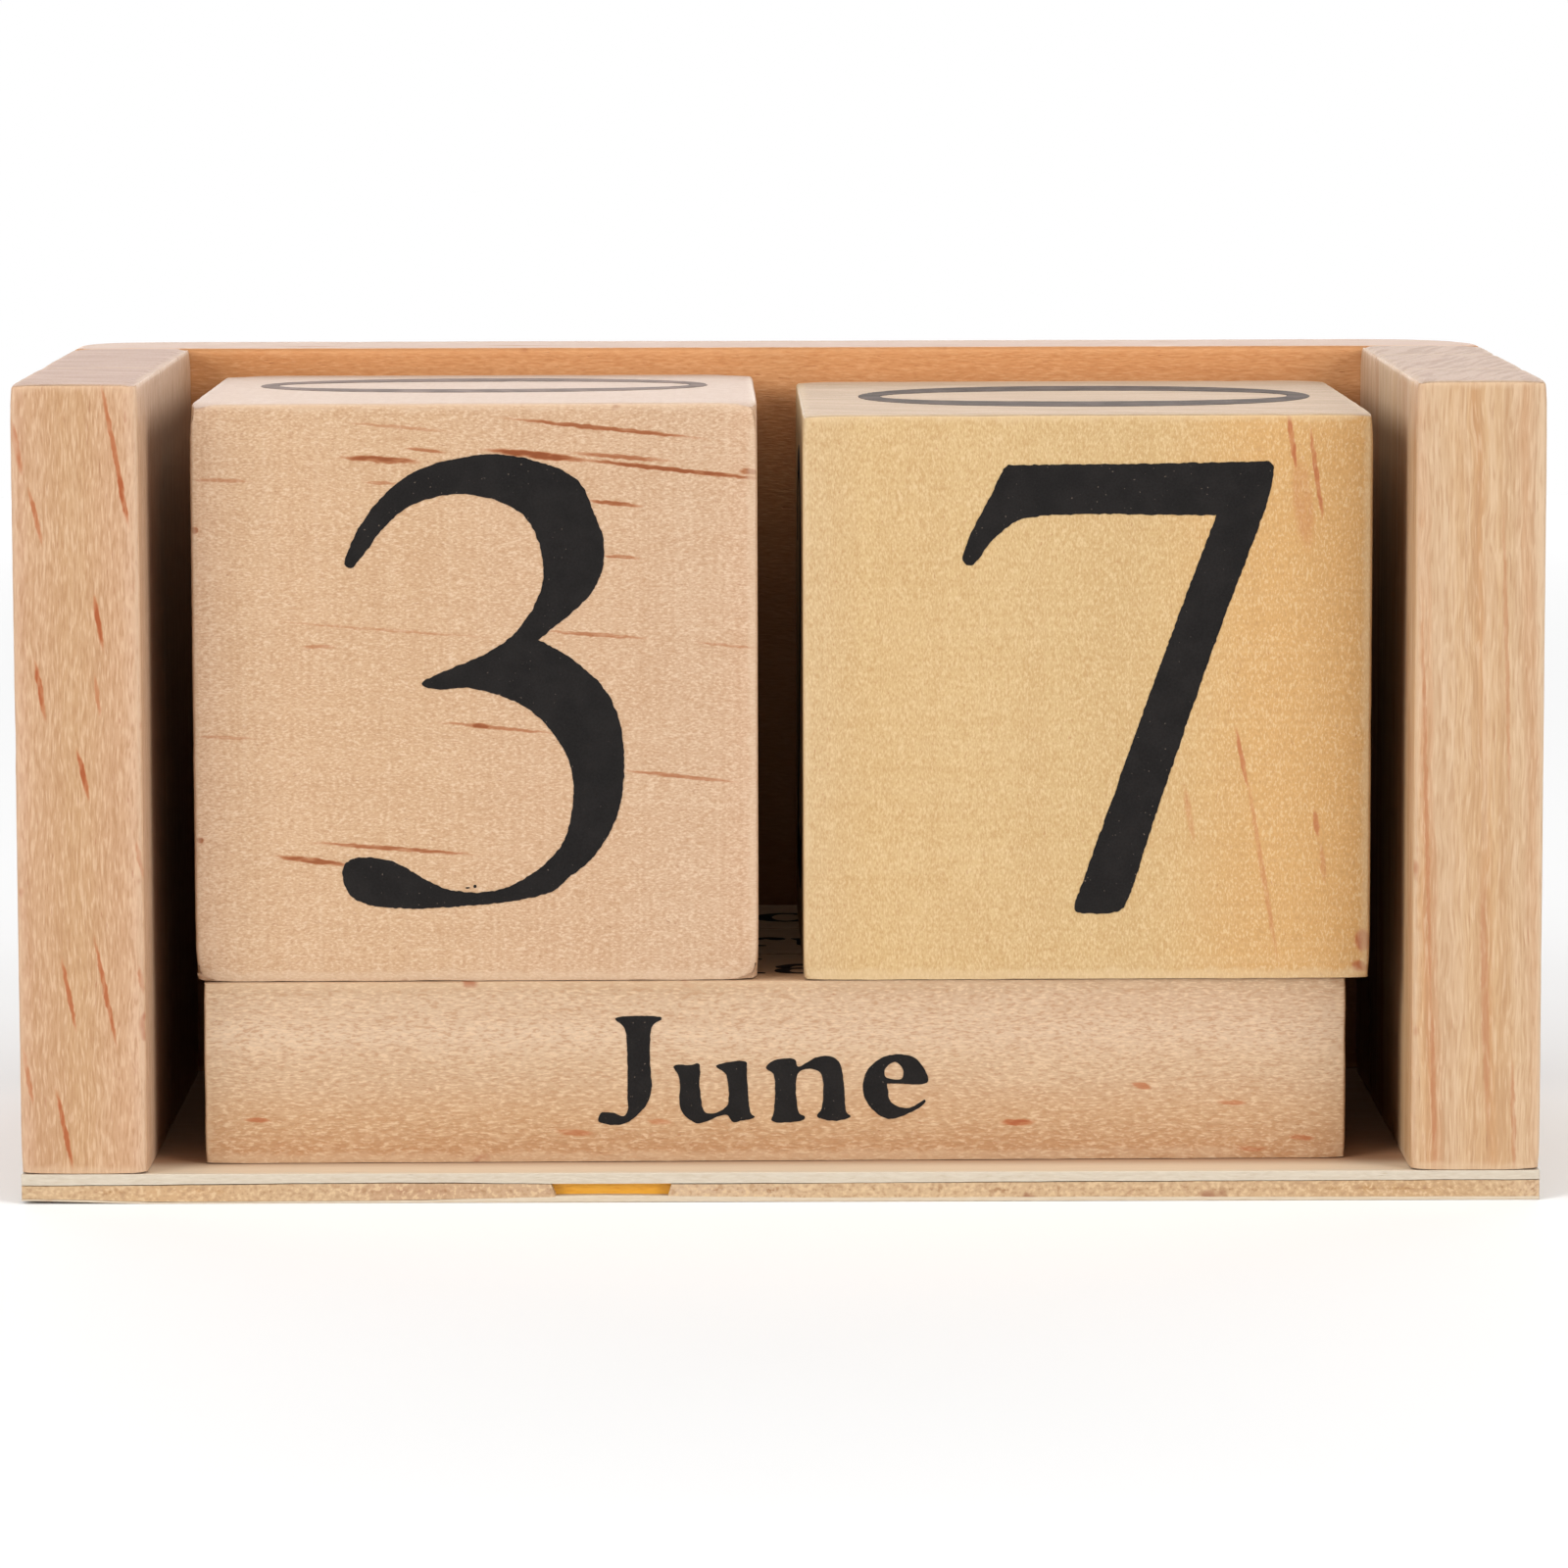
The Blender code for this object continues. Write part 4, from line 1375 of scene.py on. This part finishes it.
def between(under, over, low, high, end_slant):
    """Relief that stretches a flat block between two glue lines, and slants its open end."""
    def relief(place):
        share = (place.z - low.z) / (high.z - low.z)
        foot = along(under, place.x)
        head = along(over, place.x)
        wander = 0.04 * noise.noise(Vector((place.x * 0.3, place.y * 0.1, 5)))
        if 0.2 < foot:
            foot += wander
        if head < 2.9:
            head += wander
        shifted = place.copy()
        shifted.z = foot + (head - foot) * share
        if end_slant and abs(place.x - (high.x if end_slant > 0 else low.x)) < 1.0:
            shifted.x += end_slant * (0.5 - share) + 0.1 * noise.noise(place * 1.3)
        return shifted
    return relief


for node, timber, under, over, rounded, slant, glued in (
    ("base_bottom_ply", SKIN, FOOT, SKIN_TOP, ("rear_left", "rear_right"), 0, ("top",)),
    ("base_core_ply_left", CORE, SKIN_TOP, VENEER_FOOT, ("rear_left",), 0.5, ("top", "bottom")),
    ("base_core_ply_right", CORE, SKIN_TOP, VENEER_FOOT, ("rear_right",), -0.4, ("top", "bottom")),
    ("base_top_ply", VENEER, VENEER_FOOT, VENEER_TOP, ("rear_left", "rear_right"), 0, ("bottom",)),
):
    low, high = node_box(node)
    core = "core" in node
    corners = {name: REAR_CORNERS[name] for name in rounded}
    add_block(
        node + "_layer", node, "tray",
        wood(node + " wood", timber, low, high, tray_floor_painted_shade if "top" in node else None),
        Block(low, high, ease=0.1, glued=glued, corners=corners, flat=0.09 if core else 0.02,
              ragged=0.02, nick=0.0, relief=between(under, over, low, high, slant)),
    )

# A block in the core ply's hollow, coloured as painted bounce light.
low, high = Vector((-23.0, -37.7, 0.42)), Vector((-10.4, 37.6, 2.0))
filling = Block(low, high, ease=0.1, nick=0.0, flat=0.02, ragged=0.02)
add_piece(
    "core_void_painted_light", filling.mesh("core_void_painted_light"), wood("amber glue", AMBER, low, high), "tray",
)

# Printed faces of each cube: digit, side, place across and up the side, and quarter turns.
CUBE_FACES = {
    "left_cube": (left_low, left_high, CUBE_TURNS["left"], LEFT_CUBE_FALL, (
        ("3", "front", 1.12, 0.82, 0), ("0", "top", 0.1, 5.8, 1), ("1", "right", 0, 0.5, 0),
        ("2", "left", 0, 0.5, 0), ("4", "rear", 0, 0.5, 0), ("5", "bottom", 0, 0, 1),
    )),
    "right_cube": (right_low, right_high, CUBE_TURNS["right"], 0, (
        ("7", "front", 3.42, 0.95, 0), ("0", "top", 1.1, 1.1, 1), ("1", "right", 0, 0.5, 0),
        ("2", "left", 0, 0.5, 0), ("8", "rear", 0, 0.5, 0), ("6", "bottom", 0, 0, 1),
    )),
}
# The zeros on top: the ring's sizes, and the ink's linear tone, which is light as painted sheen of the
# tops seen at a grazing angle.
TOP_ZEROS = {
    "left_cube": ((0, 0, 13.65, 23, 5.9, 1.8), (0.265, 0.200, 0.175)),
    "right_cube": ((0, 0, 17, 23.1, 7.9, 2.2), (0.135, 0.105, 0.092)),
}
for body, (low, high, turn, fall, faces) in CUBE_FACES.items():
    shape = bmesh.new()
    for digit, side, across, up, quarter in faces:
        corner = low + UNDERSIDE if side == "bottom" else low
        place = face_map(corner, high, turn, side, across, up, quarter, fall)
        if side == "top":
            sizes, tone = TOP_ZEROS[body]
            zero = bmesh.new()
            print_figure(zero, ring(*sizes, 0.5), place, 0.12, seed=low.x)
            # The light ink tone with little gloss is painted sheen.
            finish_ink(body + "_top_zero", zero, body, ink(body + " painted sheen ink", tone, 0.05))
        else:
            step = 0.25 if side == "front" else 0.6
            print_figure(shape, digit_parts(digit, step), place, 0.08, seed=ord(digit) + low.x)
    finish_ink(body + "_ink", shape, body, INK)

# Month names on the bars, in the middle of a face unless a place is given.
BAR_WORDS = {
    "front": {"front": "June", "top": "May", "rear": "August", "bottom": "July"},
    "middle": {"front": "January", "top": "February", "rear": "April", "bottom": "March"},
    "rear": {"front": "September", "top": "October", "rear": "December", "bottom": "November"},
}
WORD_PLACES = {"June": (-17.46, -5.12), "May": (-14.6, -4.2)}
for label, words in BAR_WORDS.items():
    shape = bmesh.new()
    low, high, turn = bar_boxes[label]
    for side, word in words.items():
        parts, width = word_parts(word, 0.2 if word == "June" else 0.45)
        across, up = WORD_PLACES.get(word, (-width / 2, -4.2))
        corner = low + UNDERSIDE if side == "bottom" else low
        place = face_map(corner, high, turn, side, across, up)
        print_figure(shape, parts, place, 0.05, seed=len(word) + low.y)
    finish_ink(label + "_bar_ink", shape, label + "_bar", INK)
